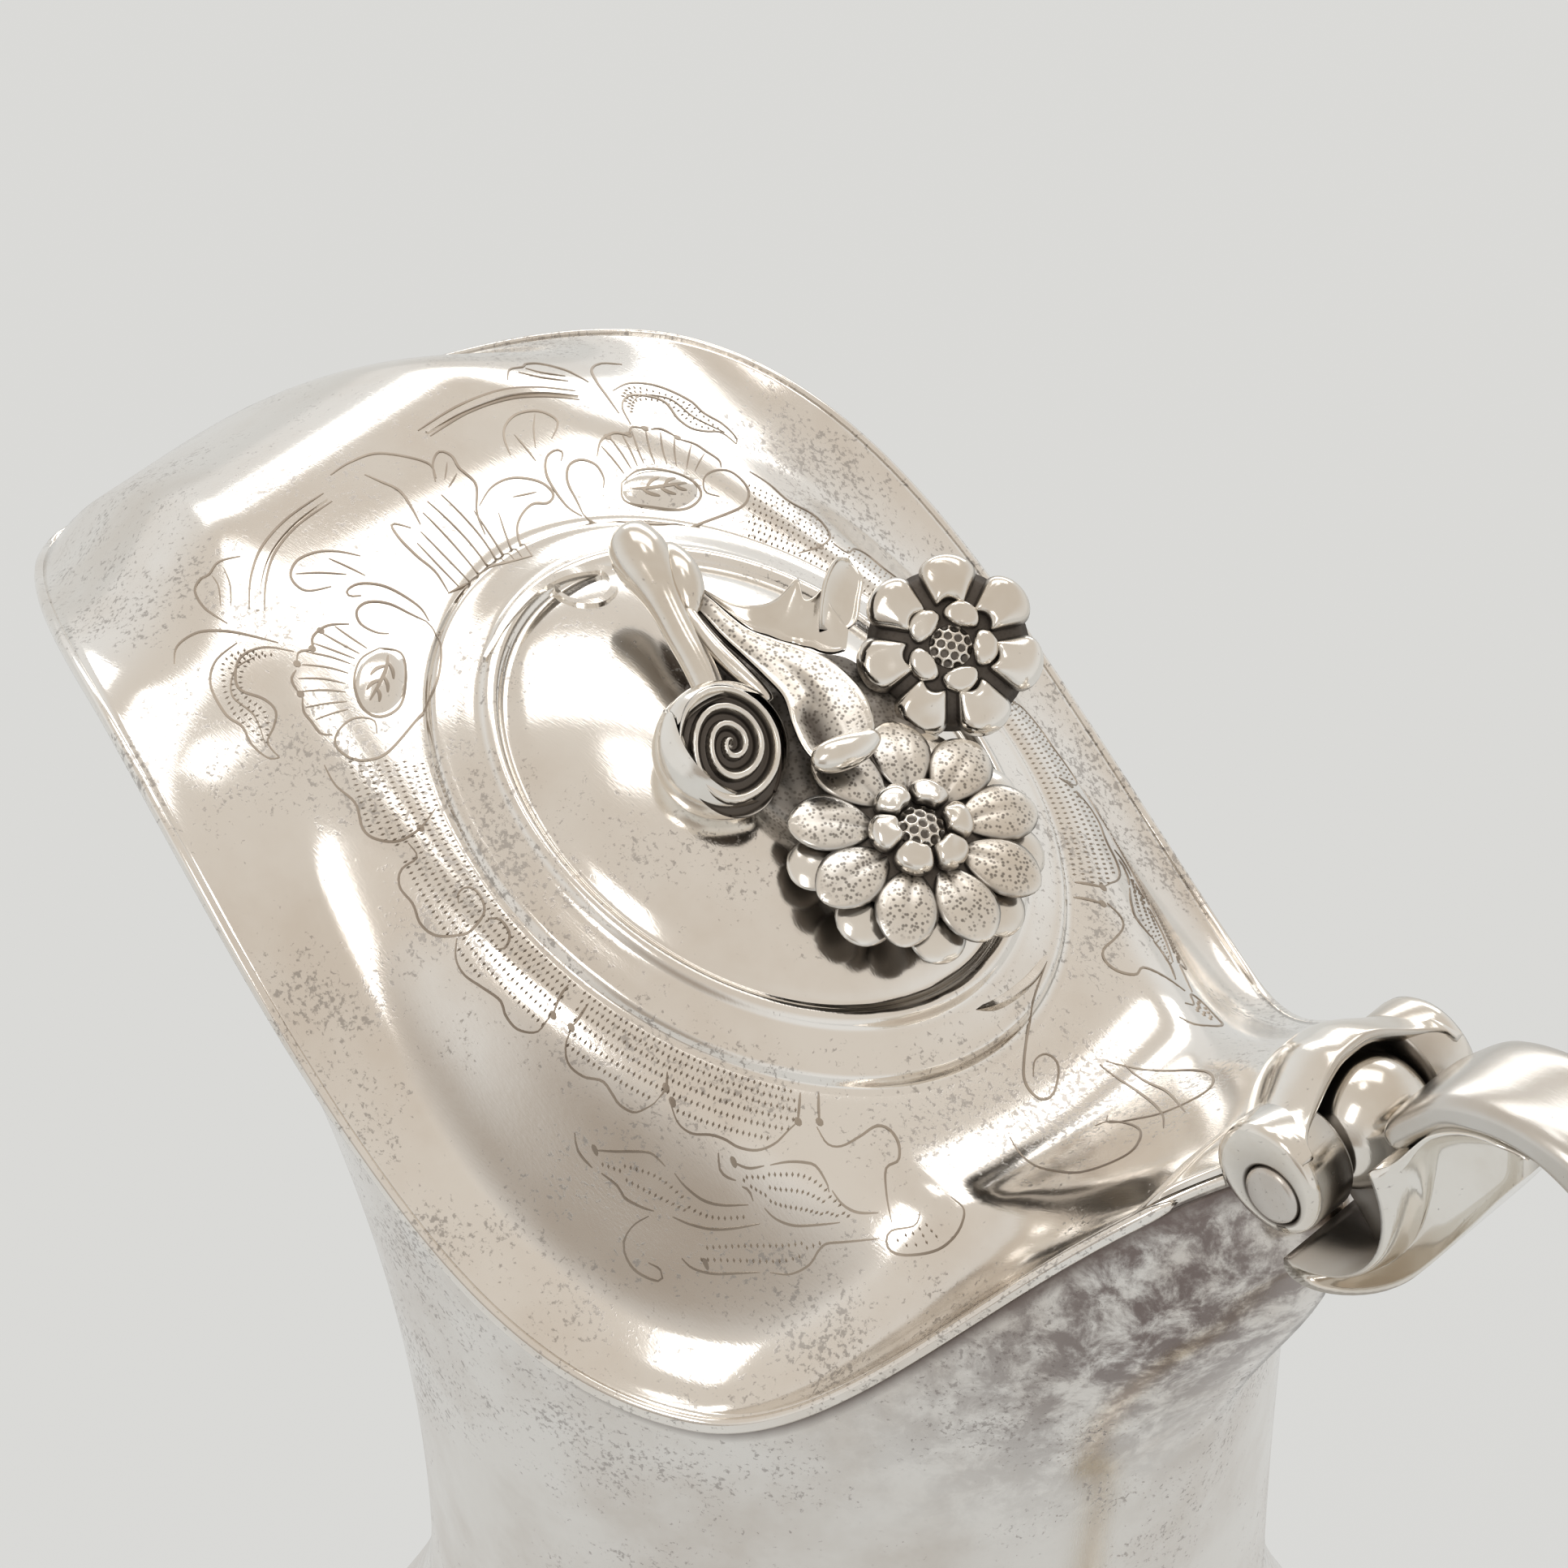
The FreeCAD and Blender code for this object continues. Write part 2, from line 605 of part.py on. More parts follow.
for name, (end, length) in zip(("upper_insulator", "lower_insulator"), joints):
    flange = size("insulator_flange")
    x, z, lean, half_depth, half_wide = end
    disc = run([(x, z, lean, half_depth + flange, half_wide + flange),
                along((x, z, lean, half_depth + flange, half_wide + flange), length)])
    tenon = rod_at(end, TENON_RADIUS, -TENON_LENGTH, length + TENON_LENGTH)
    feature(name, drilled(disc.fuse(tenon), pin_bores))
feature("handle_pins", Part.makeCompound([cross_pin(end, offset, size("handle_pin_radius"), width)
                                         for end, offset in pin_spots]))

# Finial: cast twig, leaves, rosebud and two flowers, bolted through the dome


def on_dome(a, b, c, lean_across=0.0, lean_along=0.0):
    turn = Rotation(ACROSS, lean_along).multiply(Rotation(Vector(1, 0, 0), lean_across))
    return dome_frame.multiply(Placement(Vector(a, b, c), turn))


def ring_at(spot, way, half_a, half_b):
    # Oval section round a spot, square to the way through it.
    way = Vector(way)
    way.normalize()
    flat = way.cross(UP)
    flat.normalize()
    raised = flat.cross(way)
    return ellipse_round(Vector(spot), flat * half_a, raised * half_b)


def sprig(stations, grow=0.0):
    # Solid through oval sections: (a, b, c, half breadth, half thickness) in the dome's frame.
    spots = [Vector(*station[:3]) for station in stations]
    rings = []
    for k, station in enumerate(stations):
        way = spots[min(k + 1, len(spots) - 1)] - spots[max(k - 1, 0)]
        rings.append(ring_at(spots[k], way, station[3] + grow, station[4] + grow))
    shape = Part.makeLoft(rings, True, False)
    shape.Placement = dome_frame
    return shape


twig_run = [(-18.9, 2.9, 2.3, 1.2, 1.2), (-17.2, 2.9, 2.5, 2.2, 2.2), (-14.6, 3.0, 2.8, 1.9, 1.9),
            (-11.8, 2.7, 3.0, 1.7, 1.7), (-7.6, 1.2, 2.9, 1.5, 1.5), (-3.4, 0.4, 2.7, 1.5, 1.5),
            (0.0, 0.0, 2.0, 1.0, 0.9)]
BOSS_REACH = 3.0
STUD_BORE = (-10.0, 1.8)
boss = dome_rod(size("boss_radius"), -BOSS_REACH, BOSS_REACH)
stud_bore = dome_rod(size("stud_radius") + fit, *STUD_BORE)
feature("finial_twig", sprig(twig_run).fuse(boss).cut(seat_on_dome).cut(stud_bore))
cast_gap = size("seat_gap")
boss_room = dome_rod(size("boss_radius") + cast_gap, -BOSS_REACH, BOSS_REACH + cast_gap)
twig_room = sprig(twig_run, cast_gap).fuse(boss_room)

stud = doc.addObject("Part::Cylinder", "finial_stud")
stud.setExpression("Radius", "Sizes.stud_radius")
STUD_LOW = -8.5
STUD_HIGH = 1.7
stud.Height = STUD_HIGH - STUD_LOW
stud.Placement = dome_frame.multiply(Placement(Vector(0, 0, STUD_LOW), Rotation()))
keep("finial_stud", stud)
WASHER_GAP = 0.45
washer_top = -size("lid_thickness") - WASHER_GAP
washer = dome_rod(size("washer_radius"), washer_top - size("washer_thickness"), washer_top)
feature("finial_washer", washer.cut(dome_rod(stud_hole, -BEYOND, BEYOND)))

nut_body = doc.addObject("PartDesign::Body", "finial_nut")
nut_sketch = sketch_in(nut_body, "XY_Plane", "nut_outline")
corner_reach = size("nut_width") / math.sqrt(3)
nut_corners = [Vector(corner_reach * math.cos(math.pi / 3 * k), corner_reach * math.sin(math.pi / 3 * k), 0)
               for k in range(6)]
for k in range(6):
    nut_sketch.addGeometry(Part.LineSegment(nut_corners[k], nut_corners[(k + 1) % 6]), False)
for k in range(6):
    nut_sketch.addConstraint(Sketcher.Constraint("Coincident", k, 2, (k + 1) % 6, 1))
    formula = "Sizes.nut_width / sqrt(3) * %s(%d deg)"
    bind(nut_sketch, "DistanceX", (-1, 1, k, 1), nut_corners[k].x, formula % ("cos", 60 * k))
    bind(nut_sketch, "DistanceY", (-1, 1, k, 1), nut_corners[k].y, formula % ("sin", 60 * k))
nut_bore = nut_sketch.addGeometry(Part.Circle(Vector(0, 0, 0), UP, stud_hole), False)
nut_sketch.addConstraint(Sketcher.Constraint("Coincident", nut_bore, 3, -1, 1))
bind(nut_sketch, "Radius", (nut_bore,), stud_hole, "Sizes.stud_radius + Sizes.pin_fit")
nut_pad = nut_body.newObject("PartDesign::Pad", "nut_pad")
nut_pad.Profile = nut_sketch
nut_pad.setExpression("Length", "Sizes.nut_height")
nut_body.Tip = nut_pad
nut_low = washer_top - size("washer_thickness") - size("nut_height")
nut_body.Placement = dome_frame.multiply(Placement(Vector(0, 0, nut_low), Rotation()))
keep("finial_nut", nut_body)


def petal(reach, breadth, thickness):
    # Blade between two arcs with a domed face, its middle at the origin and its length along X.
    ends = [Vector(side * reach, 0, -thickness) for side in (-1, 1)]
    sides = [Part.Arc(ends[0], Vector(0, side * breadth, -thickness), ends[1]).toShape() for side in (-1, 1)]
    blade = Part.Face(Part.Wire(sides)).extrude(UP * 2 * thickness)
    dome_radius = (reach * reach + thickness * thickness) / (2 * thickness)
    return blade.common(Part.makeSphere(dome_radius, Vector(0, 0, thickness - dome_radius)))


def petal_ring(count, spread, lift, lean, blade, start):
    petals = []
    for k in range(count):
        turn = Rotation(UP, start + 360 * k / count)
        copy = blade.copy()
        leaning = turn.multiply(Rotation(ACROSS, -lean))
        copy.Placement = Placement(turn.multVec(Vector(spread, 0, lift)), leaning)
        petals.append(copy)
    return petals


def flower(label, radius, place, rings, stalk, rooms):
    # Domed heart on a tapered stalk, with rings of petals whose sizes are shares of the radius.
    heart = Part.makeSphere(0.3 * radius, Vector(0, 0, 0.05 * radius))
    foot = Part.makeCone(0.17 * radius, 0.3 * radius, stalk, Vector(0, 0, -stalk), UP)
    petals = []
    for count, spread, lift, lean, shape, start in rings:
        blade = petal(*(share * radius for share in shape))
        petals += petal_ring(count, spread * radius, lift * radius, lean, blade, start)
    shape = heart.multiFuse([foot] + petals)
    shape.Placement = place
    for room in rooms:
        shape = shape.cut(room)
    return feature(label, shape.cut(seat_on_dome))


leaf_runs = {
    "finial_large_leaf": [(-11.0, 2.5, 3.9, 0.8, 0.4), (-6.7, 2.0, 4.6, 1.1, 0.5), (-3.2, 2.4, 5.2, 1.5, 0.5),
                          (-0.4, 2.7, 5.6, 2.6, 0.55), (2.4, 1.9, 5.9, 2.8, 0.6), (4.4, 1.2, 5.9, 2.5, 0.7),
                          (6.0, 0.4, 5.7, 1.6, 0.8)],
    "finial_small_leaf": [(-9.6, 3.5, 3.8, 0.5, 0.35), (-7.6, 5.2, 4.2, 1.3, 0.45),
                          (-6.0, 7.5, 4.6, 2.0, 0.5), (-4.9, 10.0, 5.0, 1.8, 0.5),
                          (-4.7, 12.2, 5.2, 0.8, 0.4)],
}
leaf_room = sprig(leaf_runs["finial_large_leaf"], cast_gap)
feature("finial_large_leaf", sprig(leaf_runs["finial_large_leaf"]).cut(twig_room))
feature("finial_small_leaf", sprig(leaf_runs["finial_small_leaf"]).cut(twig_room).cut(leaf_room))

large_rings = [(9, 0.70, -0.10, -4, (0.28, 0.20, 0.09), 28), (9, 0.60, 0.03, 4, (0.38, 0.23, 0.10), 8),
               (6, 0.36, 0.16, 35, (0.24, 0.19, 0.10), 20)]
small_rings = [(7, 0.60, 0.0, 14, (0.42, 0.29, 0.16), 10), (5, 0.32, 0.22, 42, (0.26, 0.2, 0.12), 32)]
bud_rings = [(5, 0.62, 0.1, 66, (0.85, 0.62, 0.36), 0), (3, 0.3, 0.6, 60, (0.6, 0.5, 0.2), 30)]
finial_rooms = [twig_room, leaf_room]
flower("finial_large_flower", size("large_flower_radius"), on_dome(12.8, 1.6, 3.0), large_rings, 9,
       finial_rooms)
flower("finial_small_flower", size("small_flower_radius"), on_dome(3.1, 15.0, 3.6, 25, 14), small_rings, 10,
       finial_rooms)
flower("finial_rosebud", size("bud_radius"), on_dome(-0.9, -5.2, 2.9, 12, 32), bud_rings, 6, finial_rooms)


def check_and_write():
    doc.recompute()
    for thing in doc.Objects:
        if "Invalid" in thing.State or "Error" in thing.State:
            raise RuntimeError("%s did not rebuild: %s" % (thing.Label, thing.State))
    for thing in nodes:
        if thing.Shape.isNull() or not thing.Shape.isValid():
            raise RuntimeError("%s has no valid shape" % thing.Label)
    os.makedirs("parts", exist_ok=True)
    for thing in nodes:
        thing.Shape.exportStep("parts/%s.step" % thing.Label)
        print(thing.Label, len(thing.Shape.Solids), round(thing.Shape.Volume, 1))


check_and_write()
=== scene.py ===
import bpy
import math
import numpy as np
from mathutils import Matrix, Vector


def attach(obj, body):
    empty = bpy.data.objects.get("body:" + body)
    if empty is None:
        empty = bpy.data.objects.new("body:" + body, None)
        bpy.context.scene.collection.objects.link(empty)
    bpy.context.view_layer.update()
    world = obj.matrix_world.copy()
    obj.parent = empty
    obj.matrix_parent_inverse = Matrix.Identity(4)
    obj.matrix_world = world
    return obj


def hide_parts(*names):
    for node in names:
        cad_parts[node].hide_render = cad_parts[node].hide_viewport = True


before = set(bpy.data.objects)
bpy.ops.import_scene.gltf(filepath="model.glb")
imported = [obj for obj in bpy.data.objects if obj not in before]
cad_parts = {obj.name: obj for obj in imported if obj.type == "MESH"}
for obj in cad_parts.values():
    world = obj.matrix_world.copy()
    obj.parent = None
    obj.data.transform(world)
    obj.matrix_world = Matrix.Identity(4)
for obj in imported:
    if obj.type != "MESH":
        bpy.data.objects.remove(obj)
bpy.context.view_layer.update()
print("frame loaded:", len(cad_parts), "nodes")

mm = 0.001


# Shared form of the mouth and the lid
potForm = {
    "halfWidth": 36.8, "widestX": -15.0, "beakX": -85.0, "heelX": 45.0,
    "beakTaper": (2.0, 0.97), "heelTaper": (2.3, 0.93),
    "rimTurns": [(-85.0, 175.5), (-46.0, 198.4), (12.5, 166.1), (45.0, 191.6)],
    "ridgeTurns": [(-85.0, 175.5), (-51.0, 202.5), (20.0, 180.0), (45.0, 191.6)],
    "overhang": 0.6, "shoulder": 0.42, "noseRoll": 1.7, "lidThickness": 1.2, "lidGap": 0.5,
}
domeForm = {
    "x": -10.5, "level": 191.0, "halfLength": 26.5, "halfWidth": 21.5, "tilt": 20.0,
    "rise": 7.0, "sink": 0.1, "seatEnd": 1.03, "seatBlend": 0.5,
}
domeLean = math.radians(domeForm["tilt"])
domeReach = domeForm["halfLength"] * math.cos(domeLean)
outlineSteps = 400


def wave(x, turns):
    (beakX, beakZ), (crestX, crestZ) = turns[:2]
    if x < crestX:  # rolls over the crest and down to the beak
        out = min(1.0, (crestX - x) / (crestX - beakX))
        return crestZ - (crestZ - beakZ) * out ** potForm["noseRoll"]
    for (x0, z0), (x1, z1) in zip(turns[1:-1], turns[2:]):
        if x <= x1:
            break
    part = min(1.0, max(0.0, (x - x0) / (x1 - x0)))
    return z0 + (z1 - z0) * (1 - math.cos(math.pi * part)) / 2


def ease(part):
    part = min(1.0, max(0.0, part))
    return part * part * (3 - 2 * part)


def softStep(value, start, end):  # 0 at the start and 1 at the end, either way round
    return ease((value - start) / (end - start))


def bell(value, middle, spread):  # 1 at the middle, gone two spreads away
    return math.exp(-((value - middle) / spread) ** 2)


def halfWidth(x):
    f = potForm
    end, taper = (f["beakX"], f["beakTaper"]) if x < f["widestX"] else (f["heelX"], f["heelTaper"])
    share = min(1.0, abs((x - f["widestX"]) / (end - f["widestX"])))
    return f["halfWidth"] * (1 - share ** taper[0]) ** taper[1]


def domePlace(x, y):  # share of the dome's half size, and bearing, seen from above
    a, b = (x - domeForm["x"]) / domeReach, y / domeForm["halfWidth"]
    return math.hypot(a, b), math.atan2(b, a)


def saddleTop(x, y):
    f = potForm
    edge = halfWidth(x) + f["overhang"]
    ridge = wave(x, f["ridgeTurns"])
    fall = ease((abs(y) / edge - f["shoulder"]) / (1 - f["shoulder"]))
    flank = ridge - (ridge - wave(x, f["rimTurns"])) * fall
    seat = domeForm["level"] - domeForm["sink"] - math.tan(domeLean) * (x - domeForm["x"])
    return seat + (flank - seat) * ease((domePlace(x, y)[0] - domeForm["seatEnd"]) / domeForm["seatBlend"])


# Handling of pieces
def clearSelection():
    if bpy.context.object and bpy.context.object.mode != "OBJECT":
        bpy.ops.object.mode_set(mode="OBJECT")
    bpy.ops.object.select_all(action="DESELECT")


def pick(*pieces):
    clearSelection()
    for piece in pieces:
        piece.select_set(True)
    bpy.context.view_layer.objects.active = pieces[0]


def cleanMesh(piece, merge=0.0, sliver=0.0, turnOut=True):  # closes seams and poles, turns faces out
    pick(piece)
    bpy.ops.object.mode_set(mode="EDIT")
    bpy.ops.mesh.select_all(action="SELECT")
    if merge:
        bpy.ops.mesh.remove_doubles(threshold=merge)
    if sliver:
        bpy.ops.mesh.dissolve_degenerate(threshold=sliver)
    if turnOut:
        bpy.ops.mesh.normals_make_consistent(inside=False)
    bpy.ops.object.mode_set(mode="OBJECT")


def rowAt(rows, w):
    return rows[round(w * (len(rows) - 1))]


def bothFaces(u):  # a thin piece's grid goes over the top face and back along the underside
    top = u <= 0.5
    return top, 4 * u - 1 if top else 3 - 4 * u


def gridPiece(name, across, along, place):
    # Grid put in place by (u, w), in millimetres, that may carry a painted shade value and a matte value.
    clearSelection()
    bpy.ops.mesh.primitive_grid_add(x_subdivisions=across, y_subdivisions=along, size=2)
    piece = bpy.context.object
    piece.name = piece.data.name = name
    marks = {"paintedShade": [], "matte": []}
    for corner in piece.data.vertices:
        spot = place((corner.co.x + 1) / 2, (corner.co.y + 1) / 2)
        corner.co = Vector(spot[:3]) * mm
        for k, values in enumerate(marks.values(), start=3):
            values.append(spot[k] if len(spot) > k else 0.0)
    for label, values in marks.items():
        piece.data.attributes.new(label, "FLOAT", "POINT").data.foreach_set("value", values)
    cleanMesh(piece, merge=1e-6, sliver=1e-7)
    bpy.ops.object.shade_smooth()
    return piece


def smoothCopy(node, name, angle=40):  # own copy of a CAD node, merged and smoothly shaded
    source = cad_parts[node]
    piece = bpy.data.objects.new(name, source.data.copy())
    bpy.context.collection.objects.link(piece)
    piece.data.name = name
    cleanMesh(piece, merge=2e-6, turnOut=False)
    bpy.ops.object.shade_smooth_by_angle(angle=math.radians(angle))
    return piece


def setDown(piece, body, slotName, material, *nodes):
    piece.data.materials.clear()
    piece.data.materials.append(material)
    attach(piece, body)
    if nodes:
        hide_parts(*nodes)
    return piece


# Shader groups and finishes
def newGroup(name, inputs, outputs):
    group = bpy.data.node_groups.new(name, "ShaderNodeTree")
    for label, kind, value in inputs:
        socket = group.interface.new_socket(label, in_out="INPUT", socket_type=kind)
        socket.default_value = value
    for label, kind in outputs:
        group.interface.new_socket(label, in_out="OUTPUT", socket_type=kind)
    return group, group.nodes.new("NodeGroupInput"), group.nodes.new("NodeGroupOutput")


def link(tree, a, b):
    tree.links.new(a, b)


def texNoise(tree, vector, scale, detail=4.0, rough=0.55, distort=0.0):
    node = tree.nodes.new("ShaderNodeTexNoise")
    node.inputs["Scale"].default_value = scale
    node.inputs["Detail"].default_value = detail
    node.inputs["Roughness"].default_value = rough
    node.inputs["Distortion"].default_value = distort
    link(tree, vector, node.inputs["Vector"])
    return node.outputs["Fac"]


def ramp(tree, value, low, high):
    node = tree.nodes.new("ShaderNodeMapRange")
    node.interpolation_type = "SMOOTHSTEP"
    node.inputs["From Min"].default_value = low
    node.inputs["From Max"].default_value = high
    link(tree, value, node.inputs["Value"])
    return node.outputs["Result"]


def calc(tree, kind, a, b):
    node = tree.nodes.new("ShaderNodeMath")
    node.operation = kind
    for k, value in enumerate((a, b)):
        if isinstance(value, (int, float)):
            node.inputs[k].default_value = value
        else:
            link(tree, value, node.inputs[k])
    return node.outputs[0]


def blendColour(tree, factor, a, b, kind="MIX"):
    node = tree.nodes.new("ShaderNodeMix")
    node.data_type = "RGBA"
    node.blend_type = kind
    for socket, value in ((node.inputs[0], factor), (node.inputs[6], a), (node.inputs[7], b)):
        if isinstance(value, (int, float, tuple)):
            socket.default_value = value
        else:
            link(tree, value, socket)
    return node.outputs[2]


def markValue(tree, label):  # painted shade or matte value carried by the mesh
    node = tree.nodes.new("ShaderNodeAttribute")
    node.attribute_name = label
    return node.outputs["Fac"]


def newMaterial(name):
    material = bpy.data.materials.new(name)
    material.use_nodes = True
    tree = material.node_tree
    return material, tree, tree.nodes["Principled BSDF"]


def objectCoords(tree):
    return tree.nodes.new("ShaderNodeTexCoord").outputs["Object"]


# noises give scale, detail, roughness and distortion; edges give the start and end of a ramp
tarnishForm = {
    "cloud": (55, 5, 0.6), "patches": (70, 5, 0.7), "patchEdges": (0.22, 0.72), "fine": (2300, 3, 0.62, 0.3),
    "fleckLimit": 0.80, "fleckEdges": (0.0, 0.12), "fleckShare": 0.5, "hair": (1400, 2, 0.5),
    "hairStretch": (1.0, 6.0, 2.0), "hairTurn": (0.3, 0.2, 0.7), "hairHeight": 0.25, "cloudHeight": 0.6,
    "fleckDepth": 0.5,
}


def makeTarnishGroup():  # flecks, clouds and fine scratches of old polished silver
    f = tarnishForm
    group, source, out = newGroup(
        "tarnish",
        [("Vector", "NodeSocketVector", (0, 0, 0)), ("Flecks", "NodeSocketFloat", 0.5)],
        [("Fleck", "NodeSocketFloat"), ("Cloud", "NodeSocketFloat"), ("Height", "NodeSocketFloat")])
    vector = source.outputs["Vector"]
    cloud = texNoise(group, vector, *f["cloud"])
    patches = ramp(group, texNoise(group, vector, *f["patches"]), *f["patchEdges"])
    fine = texNoise(group, vector, *f["fine"])
    density = calc(group, "MULTIPLY", patches, source.outputs["Flecks"])
    edge = calc(group, "SUBTRACT", f["fleckLimit"], density)
    above = ramp(group, calc(group, "SUBTRACT", fine, edge), *f["fleckEdges"])
    fleck = calc(group, "MULTIPLY", above, f["fleckShare"])
    stretch = group.nodes.new("ShaderNodeMapping")
    stretch.inputs["Scale"].default_value = f["hairStretch"]
    stretch.inputs["Rotation"].default_value = f["hairTurn"]
    link(group, vector, stretch.inputs["Vector"])
    hair = texNoise(group, stretch.outputs["Vector"], *f["hair"])
    scratches = calc(group, "MULTIPLY", hair, f["hairHeight"])
    height = calc(group, "ADD", scratches, calc(group, "MULTIPLY", cloud, f["cloudHeight"]))
    height = calc(group, "SUBTRACT", height, calc(group, "MULTIPLY", fleck, f["fleckDepth"]))
    for label, value in (("Fleck", fleck), ("Cloud", cloud), ("Height", height)):
        link(group, value, out.inputs[label])
    return group


tarnish = makeTarnishGroup()

finishes = {
    "sheet": {"light": (0.90, 0.875, 0.835, 1), "warm": (0.80, 0.745, 0.68, 1), "dark": (0.17, 0.15, 0.14, 1),
              "flecks": 0.35, "gloss": (0.07, 0.18), "bump": 0.05, "paintedShade": 0.0},
    "neck": {"light": (0.83, 0.81, 0.78, 1), "warm": (0.68, 0.63, 0.58, 1), "dark": (0.24, 0.21, 0.20, 1),
             "flecks": 0.33, "gloss": (0.12, 0.22), "bump": 0.04, "paintedShade": 1.0,
             "stain": (0.22, 0.18, 0.17, 1)},
    "cast": {"light": (0.88, 0.86, 0.82, 1), "warm": (0.74, 0.68, 0.60, 1), "dark": (0.085, 0.071, 0.060, 1),
             "flecks": 0.20, "gloss": (0.09, 0.2), "bump": 0.05, "paintedShade": 1.0},
    # dark browns of the engraved lines and matting ticks: partly oxide in the cuts, partly painted shade of
    # the grooves
    "cut": {"light": (0.44, 0.385, 0.325, 1), "warm": (0.25, 0.205, 0.165, 1), "dark": (0.06, 0.05, 0.042, 1),
            "flecks": 0.20, "gloss": (0.34, 0.5), "bump": 0.02, "paintedShade": 0.0},
    "fitting": {"light": (0.74, 0.72, 0.69, 1), "warm": (0.58, 0.53, 0.48, 1),
                "dark": (0.10, 0.085, 0.075, 1), "flecks": 0.20, "gloss": (0.22, 0.36), "bump": 0.03,
                "paintedShade": 0.0},
}


wear = {
    "toneEdges": (0.38, 0.72), "markDull": 0.35, "bumpDistance": 0.0004,
    "stainNoise": (330, 8, 0.7, 0.3), "stainEdges": (0.36, 0.60),
    "punchScale": 3000, "punchEdges": (0.24, 0.50), "punchHeight": 9.0, "pitShade": 0.72, "groundDull": 0.14,
}
boneForm = {
    "grain": (420, 4, 0.6, 1.2), "grainEdges": (0.35, 0.7), "pale": (0.74, 0.66, 0.50, 1),
    "brown": (0.55, 0.44, 0.29, 1), "roughness": 0.38,
}


def silverFinish(name, look):
    material, tree, shader = newMaterial(name)
    coords = objectCoords(tree)
    marks = tree.nodes.new("ShaderNodeGroup")
    marks.node_tree = tarnish
    marks.inputs["Flecks"].default_value = look["flecks"]
    link(tree, coords, marks.inputs["Vector"])
    warmth = ramp(tree, marks.outputs["Cloud"], *wear["toneEdges"])
    tone = blendColour(tree, warmth, look["light"], look["warm"])
    # flecks are the silver's own; finishes with paintedShade add the mesh's painted shade, darkening hollows,
    # undersides and joins
    fleckAndShade = marks.outputs["Fleck"]
    if look["paintedShade"]:
        fleckAndShade = calc(tree, "MAXIMUM", fleckAndShade, markValue(tree, "paintedShade"))
    tone = blendColour(tree, fleckAndShade, tone, look["dark"])
    rough = tree.nodes.new("ShaderNodeMapRange")
    rough.inputs["To Min"].default_value, rough.inputs["To Max"].default_value = look["gloss"]
    link(tree, marks.outputs["Cloud"], rough.inputs["Value"])
    dull = calc(tree, "ADD", rough.outputs["Result"], calc(tree, "MULTIPLY", fleckAndShade, wear["markDull"]))
    bump = tree.nodes.new("ShaderNodeBump")
    bump.inputs["Strength"].default_value = look["bump"]
    bump.inputs["Distance"].default_value = wear["bumpDistance"]
    height = marks.outputs["Height"]
    if "stain" in look:  # brown and bluish bloom, strongest by the hinge
        spread = ramp(tree, texNoise(tree, coords, *wear["stainNoise"]), *wear["stainEdges"])
        bloom = calc(tree, "MULTIPLY", markValue(tree, "matte"), spread)
        tone = blendColour(tree, bloom, tone, look["stain"])
    elif look["paintedShade"]:  # stippled ground, its punch pits darkened as painted shade
        ground = markValue(tree, "matte")
        punch = tree.nodes.new("ShaderNodeTexVoronoi")
        punch.inputs["Scale"].default_value = wear["punchScale"]
        link(tree, coords, punch.inputs["Vector"])
        stipple = calc(tree, "MULTIPLY", ramp(tree, punch.outputs["Distance"], *wear["punchEdges"]), ground)
        height = calc(tree, "ADD", height, calc(tree, "MULTIPLY", stipple, wear["punchHeight"]))
        pits = calc(tree, "MULTIPLY", calc(tree, "SUBTRACT", ground, stipple), wear["pitShade"])
        tone = blendColour(tree, pits, tone, look["dark"])
        dull = calc(tree, "ADD", dull, calc(tree, "MULTIPLY", ground, wear["groundDull"]))
    link(tree, height, bump.inputs["Height"])
    link(tree, tone, shader.inputs["Base Color"])
    link(tree, dull, shader.inputs["Roughness"])
    link(tree, bump.outputs["Normal"], shader.inputs["Normal"])
    shader.inputs["Metallic"].default_value = 1.0
    return material


silvers = {name: silverFinish(name + "Silver", look) for name, look in finishes.items()}


def boneFinish():  # pale ivory-coloured insulating discs
    material, tree, shader = newMaterial("boneDisc")
    grain = ramp(tree, texNoise(tree, objectCoords(tree), *boneForm["grain"]), *boneForm["grainEdges"])
    link(tree, blendColour(tree, grain, boneForm["pale"], boneForm["brown"]), shader.inputs["Base Color"])
    shader.inputs["Roughness"].default_value = boneForm["roughness"]
    return material


silvers["bone"] = boneFinish()
print("finishes made")


# Pot body
bodyForm = {
    "belly": 55.0, "bellyLevel": 58.0, "neck": 33.0, "neckLevel": 122.0, "bottom": 21.5, "footHeight": 15.0,
    "wall": 1.1, "flare": 2.0, "columns": 160, "bowlRows": 14, "sweepRows": 18, "mouthRows": 30,
    # the lip's rounded top, under the lid, gets painted shade from lipShadeFrom on
    "lipFrom": 0.994, "lipRound": 0.25, "lipShade": 0.9, "lipShadeFrom": 0.985,
    # swell of the heel under the bracket: size, spread in degrees, level where it starts, and its runs
    "heelSwell": 4.4, "heelSpread": 30.0, "swellFrom": 156.0, "swellRun": 22.0, "swellFade": 7.0,
    # stain on the heel: middle and spread in degrees, level where it starts, and its run
    "stainBearing": -16.0, "stainSpread": 24.0, "stainFrom": 148.0, "stainRun": 30.0,
}


def outlineTable(spots):
    travel = [0.0]
    for here, there in zip(spots[:-1], spots[1:]):
        travel.append(travel[-1] + math.dist(here, there))
    return spots, [t / travel[-1] for t in travel]


